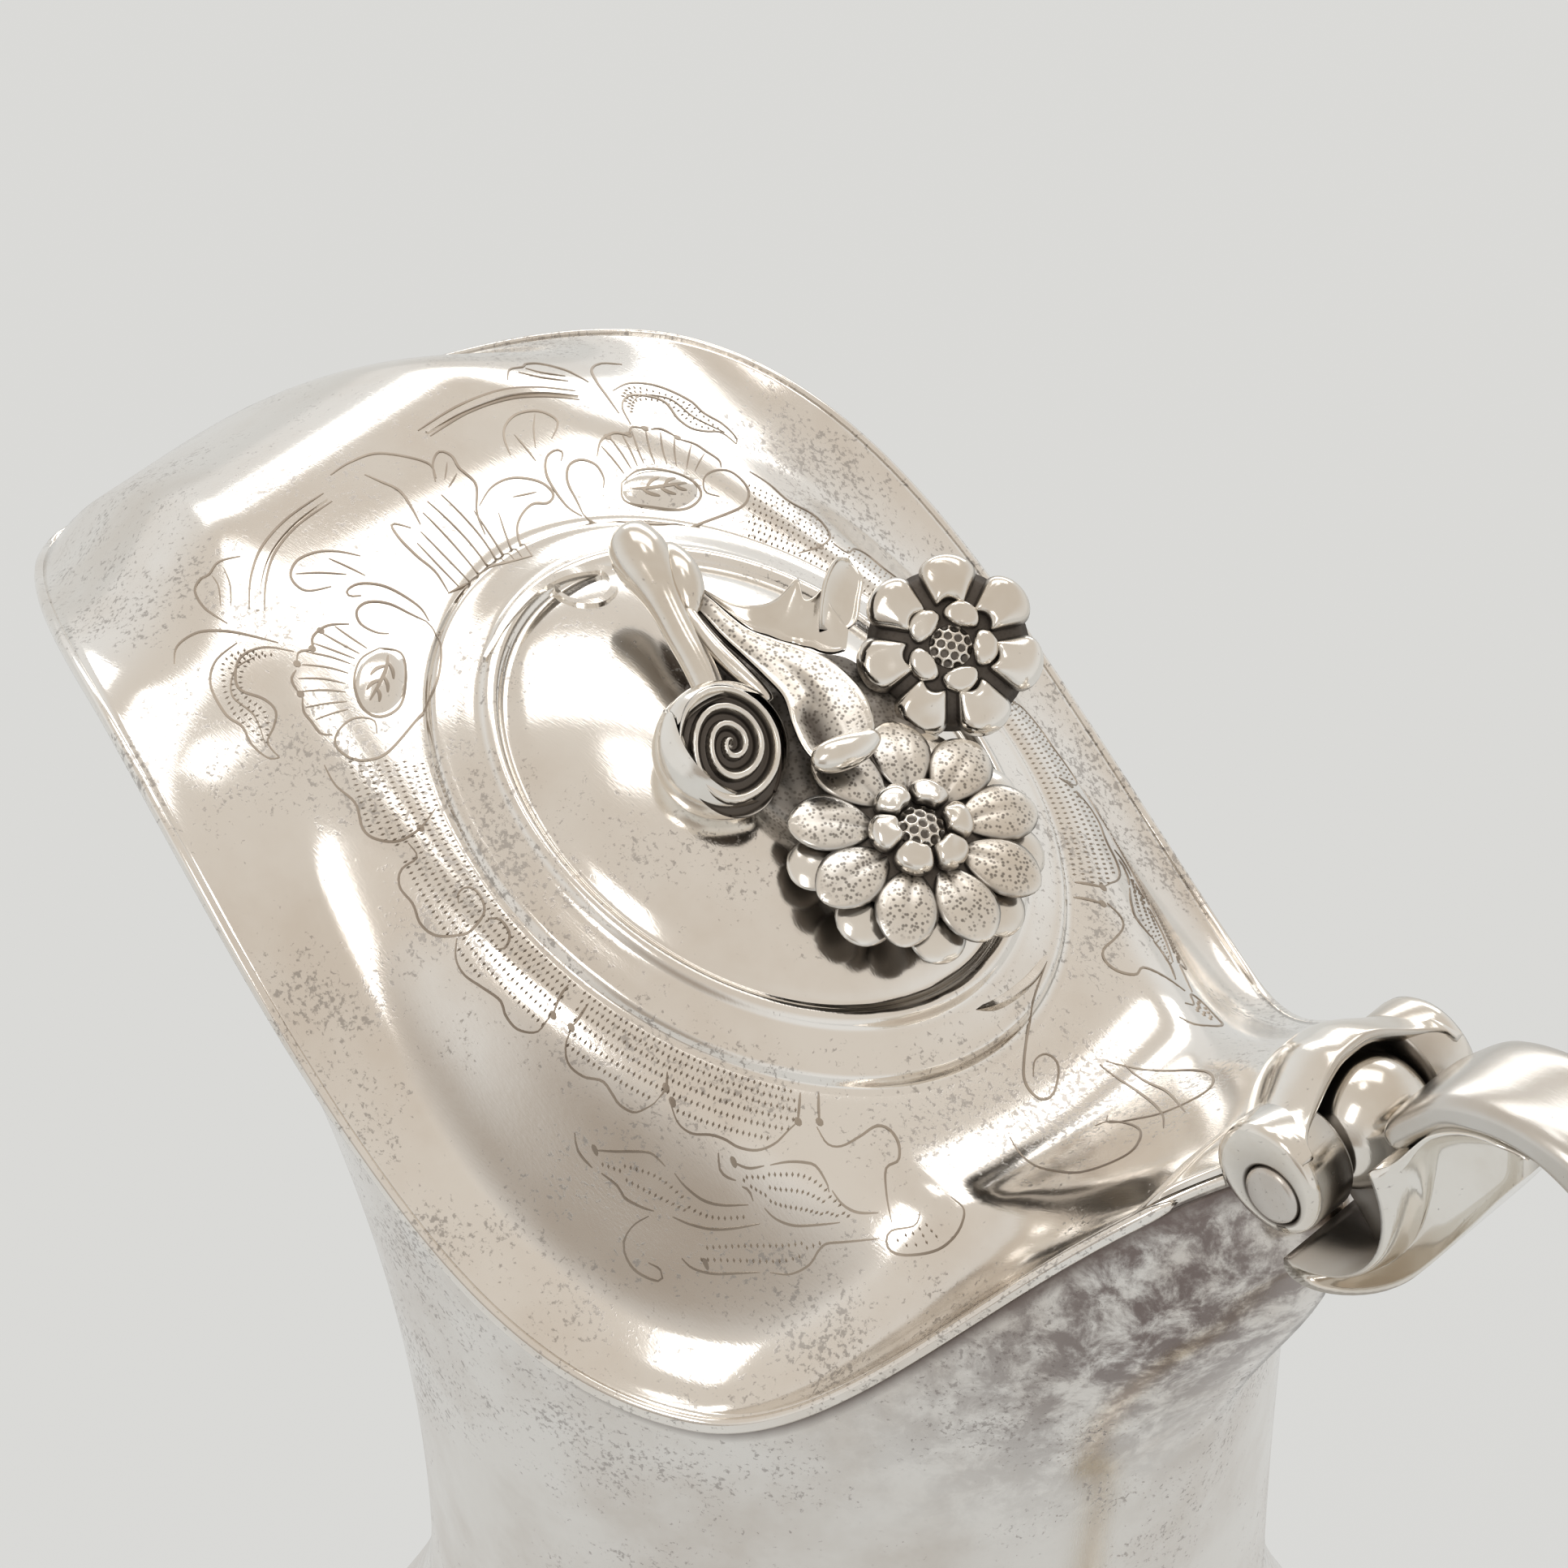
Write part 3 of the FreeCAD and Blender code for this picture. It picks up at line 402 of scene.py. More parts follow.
def alongTable(table, share):
    spots, travel = table
    k = int(np.searchsorted(travel, share))
    k = min(max(k, 1), len(spots) - 1)
    part = (share - travel[k - 1]) / max(1e-9, travel[k] - travel[k - 1])
    return tuple(a + (b - a) * part for a, b in zip(spots[k - 1], spots[k]))


def spreadX(first, last):  # from last to first, closer together at both ends
    middle, reach = (first + last) / 2, (last - first) / 2
    return [middle + reach * math.cos(math.pi * k / outlineSteps) for k in range(outlineSteps + 1)]


def closedOutline(side):  # one side and its mirror image
    return outlineTable(side + [(x, -y) for x, y in reversed(side[:-1])])


mouthTable = closedOutline([(x, halfWidth(x)) for x in spreadX(potForm["beakX"], potForm["heelX"])])


def wallSpot(u, stage, t, inset):
    b = bodyForm
    x, y = alongTable(mouthTable, u)
    far = math.hypot(x, y)
    toX, toY = x / far, y / far
    belly = b["belly"] - inset
    neck = b["neck"] - inset
    if stage == "bowl":
        fullness = math.sqrt(1 - (b["bottom"] / b["belly"]) ** 2)
        drop = (b["bellyLevel"] - b["footHeight"]) / fullness - inset
        turn0 = math.asin((b["bellyLevel"] - b["footHeight"] - inset) / drop)
        turn = turn0 * (1 - t)
        radius, level = belly * math.cos(turn), b["bellyLevel"] - drop * math.sin(turn)
    elif stage == "sweep":
        radius = belly + (neck - belly) * (1 - math.cos(math.pi * t)) / 2
        level = b["bellyLevel"] + (b["neckLevel"] - b["bellyLevel"]) * t
    else:
        edge = far - inset
        top = saddleTop(toX * edge, toY * edge) - potForm["lidThickness"] - potForm["lidGap"]
        radius = neck + (edge - neck) * t ** b["flare"]
        level = b["neckLevel"] + (top - b["neckLevel"]) * t
        swell = ease((level - b["swellFrom"]) / b["swellRun"]) * ease((top - level) / b["swellFade"])
        bearing = math.degrees(math.atan2(y, x))
        radius += b["heelSwell"] * swell * bell(bearing, 0, b["heelSpread"])
    return (toX * radius, toY * radius, level)


def bodyRows():
    b = bodyForm
    rows = [("centre", 0.0, 0.0)]
    for inset in (0.0, b["wall"]):
        wall = [("bowl", k / b["bowlRows"], inset) for k in range(b["bowlRows"])]
        wall += [("sweep", k / b["sweepRows"], inset) for k in range(b["sweepRows"])]
        wall += [("mouth", k / b["mouthRows"], inset) for k in range(b["mouthRows"])]
        outer = inset == 0
        edge = inset + b["lipRound"] * (1 if outer else -1)
        wall += [("mouth", b["lipFrom"], inset), ("mouth", 1.0, edge)]
        rows += wall if outer else wall[::-1]
    return rows + [("centre", 0.0, b["wall"])]


def makeBody():
    b = bodyForm
    rows = bodyRows()

    def place(u, w):
        stage, t, inset = rowAt(rows, w)
        if stage == "centre":
            return (0, 0, b["footHeight"] + inset)
        # painted shade on the lip where it runs under the lid
        dark = b["lipShade"] if stage == "mouth" and t > b["lipShadeFrom"] else 0.0
        x, y, level = wallSpot(u, stage, t, inset)
        near = bell(math.degrees(math.atan2(y, x)), b["stainBearing"], b["stainSpread"])
        return (x, y, level, dark, ease((level - b["stainFrom"]) / b["stainRun"]) * near if x > 0 else 0.0)

    return gridPiece("potBody", b["columns"], len(rows) - 1, place)


setDown(makeBody(), "pot", "silver", silvers["neck"], "body_shell")
print("body made")


# Lid: saddle, seat and dome in one sheet
lidForm = {
    "backX": 41.5, "noseX": -84.3, "columns": 240, "backSteps": 8, "flankRows": 34, "underRows": 14,
    "domeRows": [0.0, 0.12, 0.24, 0.36, 0.47, 0.57, 0.65, 0.71, 0.745, 0.765, 0.775, 0.785, 0.793, 0.802,
                 0.812, 0.824, 0.836, 0.848, 0.857, 0.864, 0.872, 0.885, 0.905, 0.93, 0.955, 0.972, 0.983,
                 0.991, 0.998, 1.004, 1.009, 1.014],
    "vaultRows": [0.98, 0.9, 0.8, 0.6, 0.4, 0.2, 0.0],
    # profile of the border: share of the half width, then height over the seat
    "profile": [(0.0, 7.0), (0.24, 6.68), (0.47, 5.62), (0.65, 4.15), (0.745, 3.12), (0.775, 2.62),
                (0.787, 2.42), (0.796, 2.5), (0.812, 2.86), (0.83, 2.98), (0.848, 2.82), (0.86, 2.36),
                (0.868, 2.12), (0.885, 1.96), (0.93, 1.42), (0.965, 1.02), (0.983, 0.92), (0.994, 0.78),
                (1.003, 0.42), (1.009, 0.12), (1.014, -0.1)],
}


def domeSpot(share, turn, height):
    a = domeForm["halfLength"] * share * math.cos(turn)
    b = domeForm["halfWidth"] * share * math.sin(turn)
    return (domeForm["x"] + a * math.cos(domeLean) + height * math.sin(domeLean), b,
            domeForm["level"] - a * math.sin(domeLean) + height * math.cos(domeLean))


def profileHeight(share):
    shares = [p[0] for p in lidForm["profile"]]
    return float(np.interp(share, shares, [p[1] for p in lidForm["profile"]]))


def lidOutline():
    f = lidForm
    back = halfWidth(f["backX"]) + potForm["overhang"]
    side = [(f["backX"], back * k / f["backSteps"]) for k in range(f["backSteps"])]
    side += [(x, halfWidth(x) + potForm["overhang"]) for x in spreadX(f["noseX"], f["backX"])]
    return closedOutline(side + [(f["noseX"], 0.0)])


lidTable = lidOutline()


def makeLid():
    f = lidForm
    rows = [("dome", share) for share in f["domeRows"]]
    rows += [("flank", (k + 1) / f["flankRows"]) for k in range(f["flankRows"])]
    rows += [("under", 1 - k / f["underRows"]) for k in range(f["underRows"])]
    rows += [("vault", share) for share in f["vaultRows"]]
    seat = f["domeRows"][-1]

    def place(u, w):
        kind, share = rowAt(rows, w)
        x, y = alongTable(lidTable, u)
        turn = domePlace(x, y)[1]
        if kind == "dome":
            return domeSpot(share, turn, profileHeight(share))
        if kind == "vault":
            return domeSpot(share, turn, profileHeight(share) - potForm["lidThickness"])
        baseX, baseY = domeSpot(seat, turn, profileHeight(seat))[:2]
        spotX, spotY = baseX + (x - baseX) * share, baseY + (y - baseY) * share
        drop = potForm["lidThickness"] if kind == "under" else 0.0
        return (spotX, spotY, saddleTop(spotX, spotY) - drop)

    return gridPiece("lidSheet", f["columns"], len(rows) - 1, place)


setDown(makeLid(), "lid", "silver", silvers["sheet"], "lid_shell")
print("lid made")


# Engraved scrolls, leaves and matted panels, as fine tapered cuts that follow the lid
boss = {
    "x": -33.1, "y": -15.1, "halfLength": 3.1, "halfWidth": 1.85, "turn": -63.0, "rise": 0.5, "sink": 0.06,
    "rows": 9, "steps": 40,
}
bossCos, bossSin = math.cos(math.radians(boss["turn"])), math.sin(math.radians(boss["turn"]))


def bossSpot(along, across):  # from the oval boss's own axes to the lid's plan, near side
    return boss["x"] + along * bossCos - across * bossSin, boss["y"] + along * bossSin + across * bossCos


def bossRise(x, y):  # the same on both flanks
    dx, dy = x - boss["x"], -abs(y) - boss["y"]
    along = (dx * bossCos + dy * bossSin) / boss["halfLength"]
    across = (dy * bossCos - dx * bossSin) / boss["halfWidth"]
    return boss["rise"] * max(0.0, 1 - along ** 2 - across ** 2)


skinTries, skinStep, curveSteps = 20, 0.08, 12


def lidSkin(x, y):  # upper face of the lid, dome, border and boss included
    height = 0.0
    for attempt in range(skinTries):
        a = (x - domeForm["x"] - height * math.sin(domeLean)) / math.cos(domeLean)
        share = math.hypot(a / domeForm["halfLength"], y / domeForm["halfWidth"])
        if share > lidForm["domeRows"][-1]:
            return saddleTop(x, y) + bossRise(x, y)
        height = profileHeight(share)
    return domeForm["level"] - a * math.sin(domeLean) + height * math.cos(domeLean)


def skinFrame(x, y):
    spot = Vector((x, y, lidSkin(x, y)))
    alongX = Vector((x + skinStep, y, lidSkin(x + skinStep, y))) - spot
    alongY = Vector((x, y + skinStep, lidSkin(x, y + skinStep))) - spot
    return spot, alongX.cross(alongY).normalized()


def curveValue(a, b, c, d, t):  # smooth run from b to c that heeds their neighbours
    squared, cubed = 2 * a - 5 * b + 4 * c - d, 3 * b - a - 3 * c + d
    return 0.5 * (2 * b + (c - a) * t + squared * t * t + cubed * t ** 3)


def flowing(points, step):  # smooth run through the points, in even steps
    ends = [points[0]] + list(points) + [points[-1]]
    fine = []
    for p0, p1, p2, p3 in zip(ends[:-3], ends[1:-2], ends[2:-1], ends[3:]):
        for k in range(curveSteps):
            t = k / curveSteps
            fine.append(tuple(curveValue(*four, t) for four in zip(p0, p1, p2, p3)))
    table = outlineTable(fine + [points[-1]])
    length = sum(math.dist(a, b) for a, b in zip(fine[:-1], fine[1:])) + 1e-6
    count = max(3, round(length / step))
    return [alongTable(table, k / count) for k in range(count + 1)]


cutForm = {  # section of a cut: its taper towards both ends, flat top and height at the ends
    "taperLeast": 0.06, "taperFrom": 0.04, "taperRun": 0.92, "taperPower": 0.45, "topShare": 0.8,
    "endHeight": 0.4, "tickSink": 0.03, "wireUp": (0.1, 0, 0.995),
}


class cutMesh:  # gathers many small cuts into one piece
    def __init__(self):
        self.spots, self.faces = [], []

    def stroke(self, points, width, height, step=0.32, sink=0.06, bridge=0):
        c = cutForm
        run = flowing(points, step)
        first = len(self.spots)
        levels = [lidSkin(x, y) for x, y in run]
        for k, (x, y) in enumerate(run):
            spot, out = skinFrame(x, y)
            if bridge:  # a wire that spans the steps of the border
                around = levels[max(0, k - bridge):k + bridge + 1]
                spot, out = Vector((x, y, sum(around) / len(around))), Vector(c["wireUp"])
            ahead, behind = run[min(k + 1, len(run) - 1)], run[max(k - 1, 0)]
            side = out.cross(Vector((ahead[0] - behind[0], ahead[1] - behind[1], 0))).normalized()
            rise = math.sin(math.pi * (c["taperFrom"] + c["taperRun"] * k / (len(run) - 1)))
            taper = max(c["taperLeast"], rise) ** c["taperPower"]
            half = side * (width * taper / 2)
            top = half * c["topShare"]
            crest = out * (height * (c["endHeight"] + (1 - c["endHeight"]) * taper))
            self.spots += [spot - half - out * sink, spot - top + crest, spot + top + crest,
                           spot + half - out * sink]
        last = len(self.spots) - 4
        for k in range(first, last, 4):
            for a, b in ((0, 1), (1, 2), (2, 3), (3, 0)):
                self.faces.append((k + a, k + b, k + 4 + b, k + 4 + a))
        self.faces += [(first, first + 3, first + 2, first + 1), (last, last + 1, last + 2, last + 3)]

    def tick(self, x, y, way, length, width, height):  # one touch of a matting punch
        spot, out = skinFrame(x, y)
        ahead = Vector((math.cos(way), math.sin(way), 0))
        side = out.cross(ahead).normalized()
        ahead = side.cross(out)
        low = spot - out * cutForm["tickSink"]
        first = len(self.spots)
        self.spots += [low - ahead * length / 2, low - side * width / 2, low + ahead * length / 2,
                       low + side * width / 2, spot + out * height]
        self.faces += [(first, first + 3, first + 2, first + 1)]
        self.faces += [(first + k, first + (k + 1) % 4, first + 4) for k in range(4)]

    def cushion(self, side):  # the oval boss as a closed pad
        rows, steps = boss["rows"], boss["steps"]
        first = len(self.spots)
        for r in range(rows):
            long, wide = ((1 - r / rows) * boss[half] for half in ("halfLength", "halfWidth"))
            drop = boss["sink"] if r == 0 else 0.0
            for k in range(steps):
                turn = math.tau * k / steps
                x, y = bossSpot(long * math.cos(turn), wide * math.sin(turn))
                self.spots.append(Vector((x, side * y, lidSkin(x, y) - drop)))
        x, y = bossSpot(0, 0)
        self.spots.append(Vector((x, side * y, lidSkin(x, y))))
        top = first + rows * steps
        for r in range(rows - 1):
            for k in range(steps):
                a, b = first + r * steps + k, first + r * steps + (k + 1) % steps
                self.faces.append((a, b, b + steps, a + steps))
        self.faces += [(top - steps + k, top - steps + (k + 1) % steps, top) for k in range(steps)]
        self.faces.append(tuple(first + k for k in reversed(range(steps))))

    def piece(self, name):
        mesh = bpy.data.meshes.new(name)
        mesh.from_pydata([spot * mm for spot in self.spots], [], self.faces)
        made = bpy.data.objects.new(name, mesh)
        bpy.context.collection.objects.link(made)
        cleanMesh(made)
        bpy.ops.object.shade_smooth_by_angle(angle=math.radians(engraving["smoothAngle"]))
        return made


engraving = {
    "bold": 0.24, "fine": 0.15, "height": 0.06, "smoothAngle": 28.0,
    "sprigCut": {"width": 0.34, "height": 0.06, "step": 0.16},
    "sweepRib": {"width": 0.75, "height": 0.2, "step": 0.25},
    "voluteWire": {"width": 0.8, "height": 0.34, "step": 0.25, "sink": 0.8, "bridge": 7},
    "dotHalf": 0.3, "dotBow": 0.02, "dotCut": {"width": 0.62, "height": 0.04, "step": 0.15},
    # matting: size and height of a tick, gaps between rows and ticks, then reach of the panels
    "tick": (0.52, 0.24), "tickHeight": 0.12, "rowGap": 0.62, "tickGap": 0.44, "panelFrom": 1.045,
    "panelTo": 1.30, "panelMargin": 0.02, "stagger": 0.012, "turnStep": 0.01,
    "outlinePanels": (0, 1, 2, 6, 8), "outlineBins": 150,
    # border panels round the dome, near side, each drawn once and mirrored to the far side
    "panels": [
        [(-31.2, -23.1), (-29.6, -23.6), (-27.6, -23.6), (-26.0, -24.5), (-24.7, -24.4), (-23.3, -23.5),
         (-22.8, -21.8), (-23.2, -19.8)],
        [(-22.7, -23.2), (-21.5, -23.5), (-21.9, -24.8), (-21.3, -25.6), (-19.8, -25.8), (-18.6, -26.3),
         (-17.2, -26.2), (-15.8, -25.4), (-15.1, -24.6), (-15.2, -23.1), (-16.4, -22.4), (-17.3, -22.6),
         (-17.5, -23.4), (-17.0, -23.9)],
        [(-15.7, -25.5), (-15.1, -26.3), (-14.0, -26.6), (-12.4, -26.4), (-10.8, -26.2), (-10.0, -26.5),
         (-8.8, -26.5), (-7.5, -25.9), (-7.2, -25.1), (-7.1, -24.6)],
        [(-14.7, -23.3), (-14.0, -22.7), (-12.8, -23.0), (-12.4, -23.9), (-12.9, -24.4)],
        [(-7.0, -24.7), (-7.3, -23.6), (-7.4, -22.6)], [(-5.5, -24.4), (-5.4, -23.7), (-5.5, -22.6)],
        [(-5.4, -24.4), (-5.3, -25.2), (-4.6, -25.7), (-3.3, -25.5), (-2.0, -24.9), (-1.0, -24.9),
         (-0.3, -24.9), (0.8, -24.5), (1.6, -23.6), (1.8, -23.1)],
        [(1.8, -23.1), (1.9, -22.4), (1.4, -21.7)],
        [(2.6, -22.7), (3.6, -23.0), (4.7, -22.7), (5.8, -21.9), (6.7, -21.4), (7.7, -21.0), (8.8, -20.2),
         (9.5, -19.1), (9.7, -17.9), (9.8, -17.0)],
        [(9.8, -17.0), (9.2, -16.2), (8.5, -15.3)], [(10.8, -15.8), (10.0, -15.0), (9.3, -14.2)],
        [(10.9, -16.2), (12.1, -16.4), (12.9, -15.7), (13.3, -14.2), (13.5, -12.7), (14.2, -12.1),
         (15.3, -12.3), (16.2, -13.3), (16.0, -14.4), (17.1, -15.6), (18.4, -16.5)],
        [(19.7, -14.9), (19.9, -15.7), (18.7, -16.8), (18.7, -17.4), (19.4, -17.6), (20.7, -17.1),
         (22.5, -15.9), (23.0, -14.5), (22.3, -13.1), (20.8, -12.8)],
    ],
    "dots": [(-22.8, -21.8), (-7.0, -24.7), (-5.5, -24.4), (1.9, -22.4), (2.7, -22.6), (9.8, -17.0),
             (10.8, -15.8), (-0.9, -27.0), (7.8, -21.7), (8.4, -25.4), (-38.1, -18.8), (-38.2, -17.1),
             (-38.9, -15.5), (-36.2, -20.4)],
    # leaf spray by the near flank
    "leaves": [
        [(-2.6, -27.3), (-2.1, -27.6), (-1.4, -27.6), (-0.7, -27.5)],
        [(-0.9, -27.0), (0.4, -26.3), (1.4, -25.7), (2.6, -25.0), (3.3, -24.8), (3.9, -24.7)],
        [(0.0, -27.3), (1.3, -27.0), (2.0, -27.0), (3.2, -26.6), (4.1, -26.2)],
        [(4.6, -24.5), (5.5, -24.4), (6.9, -24.0), (8.2, -23.3), (9.7, -22.2)],
        [(5.4, -25.6), (6.6, -25.1), (8.1, -24.3), (9.5, -23.3), (10.8, -22.2)],
        [(6.7, -22.1), (7.2, -22.5), (7.8, -22.4), (8.4, -22.1)],
        [(7.8, -21.7), (8.8, -21.2), (9.6, -20.4)],
        [(9.9, -20.1), (10.8, -19.1), (11.7, -18.3), (12.4, -17.9), (13.5, -18.0), (13.9, -18.2)],
        [(14.0, -18.0), (15.0, -18.0), (16.1, -17.6), (17.3, -16.7)],
        [(8.9, -22.0), (9.4, -21.8), (9.9, -21.9)],
        [(10.7, -21.6), (11.6, -21.4), (12.8, -20.8), (14.1, -19.8), (15.4, -18.7)],
        [(6.8, -26.2), (7.7, -26.0), (9.1, -25.3), (10.6, -24.3), (11.9, -23.4)],
        [(12.5, -23.0), (13.8, -22.2), (14.7, -21.2), (14.9, -20.4), (15.2, -19.9), (16.1, -19.2),
         (18.2, -17.6)],
        [(3.9, -26.5), (3.1, -27.3), (2.8, -28.0), (3.2, -28.3), (4.1, -28.3), (5.3, -27.9), (6.0, -27.5),
         (5.7, -27.3), (4.8, -27.6)],
    ],
    # matted fields between an upper and a lower edge
    "fields": [
        ([(-0.4, -27.0), (3.3, -25.1), (6.9, -24.3), (9.7, -22.5)],
         [(0.2, -27.1), (4.1, -26.0), (8.1, -24.1), (10.4, -22.4)]),
        ([(8.4, -21.8), (10.2, -20.0), (12.4, -18.3), (16.1, -17.8)],
         [(9.3, -21.7), (11.4, -21.2), (13.6, -19.9), (16.0, -18.2)]),
        ([(8.2, -24.7), (10.8, -22.8), (13.0, -21.2), (15.0, -19.6)],
         [(8.0, -25.7), (10.6, -24.1), (13.4, -22.2), (15.2, -20.1)]),
        ([(-39.8, -19.3), (-40.8, -20.9), (-39.5, -22.8), (-36.9, -22.9), (-35.3, -24.6)],
         [(-42.2, -20.6), (-42.6, -22.4), (-39.6, -24.7), (-36.6, -25.0), (-35.0, -25.0)]),
        ([(19.2, -16.6), (19.9, -15.8), (20.6, -14.8)], [(19.6, -17.3), (21.2, -16.5), (22.4, -14.8)]),
    ],
    # scallop, scrolls, leaf and bud at the front, near side
    "scallop": [
        [(-38.1, -18.8), (-38.7, -18.0), (-38.2, -17.1), (-38.9, -16.3), (-38.9, -14.8), (-38.0, -13.4)],
        [(-37.8, -19.2), (-37.5, -20.0), (-36.4, -20.4)],
        [(-36.0, -20.4), (-35.1, -21.2), (-34.1, -21.4), (-33.0, -21.6), (-32.3, -21.1)],
        [(-30.2, -18.6), (-31.1, -18.0), (-32.1, -19.0), (-32.2, -20.5), (-31.6, -21.5), (-30.2, -21.5),
         (-29.1, -20.7), (-28.6, -19.0), (-29.3, -15.3), (-29.9, -12.7), (-31.7, -10.2), (-33.8, -8.7),
         (-34.9, -8.5)],
        [(-35.7, -11.6), (-36.3, -12.3), (-37.5, -12.7), (-38.5, -12.1), (-38.6, -10.9), (-37.6, -9.7),
         (-36.0, -9.0), (-34.9, -8.5)],
        [(-39.0, -18.2), (-40.9, -19.3), (-41.7, -20.8), (-41.2, -22.1), (-39.9, -23.0), (-38.0, -22.4),
         (-36.7, -22.5), (-36.0, -23.4), (-35.5, -24.6), (-34.1, -24.8)],
        [(-42.8, -20.3), (-43.0, -22.4), (-41.8, -24.1), (-39.3, -25.1), (-37.7, -25.0), (-36.2, -25.5),
         (-34.7, -25.4), (-34.1, -24.8)],
        [(-45.5, -24.2), (-46.5, -22.9), (-46.0, -21.3), (-44.3, -20.1), (-42.3, -19.2), (-40.4, -18.4)],
        [(-44.6, -19.5), (-47.0, -19.4), (-48.9, -18.6), (-49.4, -17.6), (-49.1, -16.9), (-49.3, -15.7),
         (-48.3, -14.4)],
        [(-41.3, -11.9), (-42.3, -13.6), (-44.0, -13.4), (-44.9, -11.9), (-44.6, -10.3), (-43.6, -9.1),
         (-42.0, -8.1)],
        [(-39.3, -10.8), (-39.8, -11.5), (-40.3, -11.2), (-40.1, -10.0), (-38.7, -8.7), (-36.2, -8.0),
         (-34.8, -8.3)],
        [(-44.2, -17.6), (-46.2, -15.4), (-47.8, -12.6), (-48.7, -9.1), (-48.8, -5.1)],
        [(-43.2, -17.0), (-45.1, -14.9), (-46.7, -12.3), (-47.6, -9.1), (-47.7, -5.3)],
        [(-35.2, -13.1), (-33.9, -12.1), (-32.0, -13.7), (-30.8, -15.6), (-31.0, -17.4), (-32.3, -17.9),
         (-34.2, -16.8), (-35.3, -15.0), (-35.2, -13.1)],
    ],
    # raised rib between the two lines that sweep from the scallop to the ridge
    "sweep": [(-43.6, -17.3), (-45.6, -15.2), (-47.2, -12.5), (-48.1, -9.1), (-48.2, -5.4)],
    # leaf sprig in the oval boss, in the boss's own axes
    "sprig": [
        [(-2.2, -0.15), (-0.8, 0.12), (0.8, 0.05), (2.2, -0.2)],
        [(-1.5, 0.05), (-1.0, 0.55), (-0.3, 0.85)], [(-1.1, 0.05), (-0.5, -0.5), (0.2, -0.75)],
        [(-0.1, 0.12), (0.4, 0.6), (1.0, 0.8)], [(0.3, 0.08), (0.9, -0.45), (1.5, -0.65)],
        [(1.1, 0.02), (1.5, 0.35), (2.0, 0.45)],
    ],
    # fine ribs: scallop flutes and the lobes' veins
    "ribs": [
        [(-38.3, -17.6), (-36.8, -16.6), (-35.5, -15.9)], [(-38.5, -16.7), (-37.0, -16.0), (-35.6, -15.3)],
        [(-38.8, -15.6), (-37.2, -15.2), (-35.7, -14.7)], [(-38.5, -14.4), (-37.1, -14.2), (-35.7, -13.9)],
        [(-37.8, -18.6), (-36.3, -17.4), (-35.0, -16.6)], [(-37.2, -19.6), (-35.8, -18.3), (-34.5, -17.4)],
        [(-36.3, -20.2), (-35.1, -18.9), (-34.0, -17.9)], [(-35.2, -20.9), (-34.2, -19.5), (-33.4, -18.4)],
        [(-34.0, -21.1), (-33.4, -19.8), (-32.9, -18.8)],
        [(-40.9, -20.4), (-41.3, -22.0), (-40.0, -23.7), (-37.6, -23.8), (-35.4, -24.9)],
        [(-44.0, -12.9), (-42.9, -11.6), (-41.4, -10.2)], [(-43.4, -10.0), (-41.9, -9.6), (-40.4, -9.2)],
        [(-48.8, -16.9), (-47.6, -17.4), (-46.2, -18.6)], [(-48.6, -15.9), (-47.0, -16.8), (-45.5, -18.2)],
    ],
    # leaf palm on the ridge at the front
    "palm": [
        [(-35.8, -5.2), (-37.6, -4.7), (-39.4, -4.8), (-41.4, -4.6), (-42.7, -4.0), (-41.5, -3.2)],
        [(-41.3, -2.4), (-43.1, -1.6), (-44.9, -1.0), (-46.7, -1.2), (-48.1, -1.4)],
        [(-43.7, 1.7), (-45.3, 3.1), (-45.9, 4.4), (-44.9, 4.7), (-43.5, 4.1), (-41.5, 3.8), (-39.6, 1.9),
         (-37.8, 0.9)],
        [(-39.9, 2.5), (-40.6, 4.6), (-40.3, 6.5), (-38.9, 7.9), (-37.5, 8.0), (-37.1, 7.0), (-37.7, 5.9),
         (-37.3, 4.1), (-36.2, 2.8), (-33.5, 1.5)],
        [(-33.5, 1.5), (-34.4, -0.4), (-35.3, -2.4), (-35.7, -5.3)],
        [(-49.9, -3.2), (-49.9, -1.2), (-49.0, 1.2), (-45.7, 2.8), (-43.9, 2.0)],
    ],
    "palmVeins": [
        [(-35.6, -4.2), (-37.8, -4.1), (-40.2, -3.9)], [(-35.4, -3.2), (-38.0, -3.1), (-40.8, -2.9)],
        [(-35.2, -2.2), (-38.2, -1.8), (-42.0, -1.4)], [(-34.9, -1.2), (-38.2, -0.6), (-42.6, -0.3)],
        [(-34.6, -0.4), (-38.0, 0.5), (-42.4, 1.0)], [(-34.2, 0.3), (-36.9, 1.0), (-39.8, 1.8)],
        [(-34.0, 0.9), (-36.2, 1.8), (-38.6, 3.2)], [(-39.0, 5.2), (-38.6, 6.2), (-38.3, 7.0)],
        [(-43.4, 2.4), (-44.0, 3.2), (-44.6, 3.9)], [(-42.6, 2.0), (-42.9, 2.8), (-43.2, 3.5)],
    ],
    # raised volutes on the border of the dome
    "volutes": [
        [(-28.2, -9.2), (-29.4, -5.4), (-30.0, -1.3), (-29.5, 2.3), (-28.4, 4.0), (-26.5, 3.0), (-26.0, 0.9),
         (-27.5, -0.4), (-29.3, -0.3), (-29.6, 0.3)],
        [(12.4, -0.6), (13.0, 1.3), (12.9, 4.9), (12.2, 7.7)],
    ],
    # drop, bands and oval between the dome and the hinge
    "heel": [
        [(12.4, 7.5), (14.2, 3.7), (16.2, 0.6), (17.6, -0.9), (19.1, -1.1), (19.5, -0.1), (18.7, 1.5),
         (17.8, 2.4), (16.9, 2.2), (16.8, 1.1), (17.6, 0.0)],
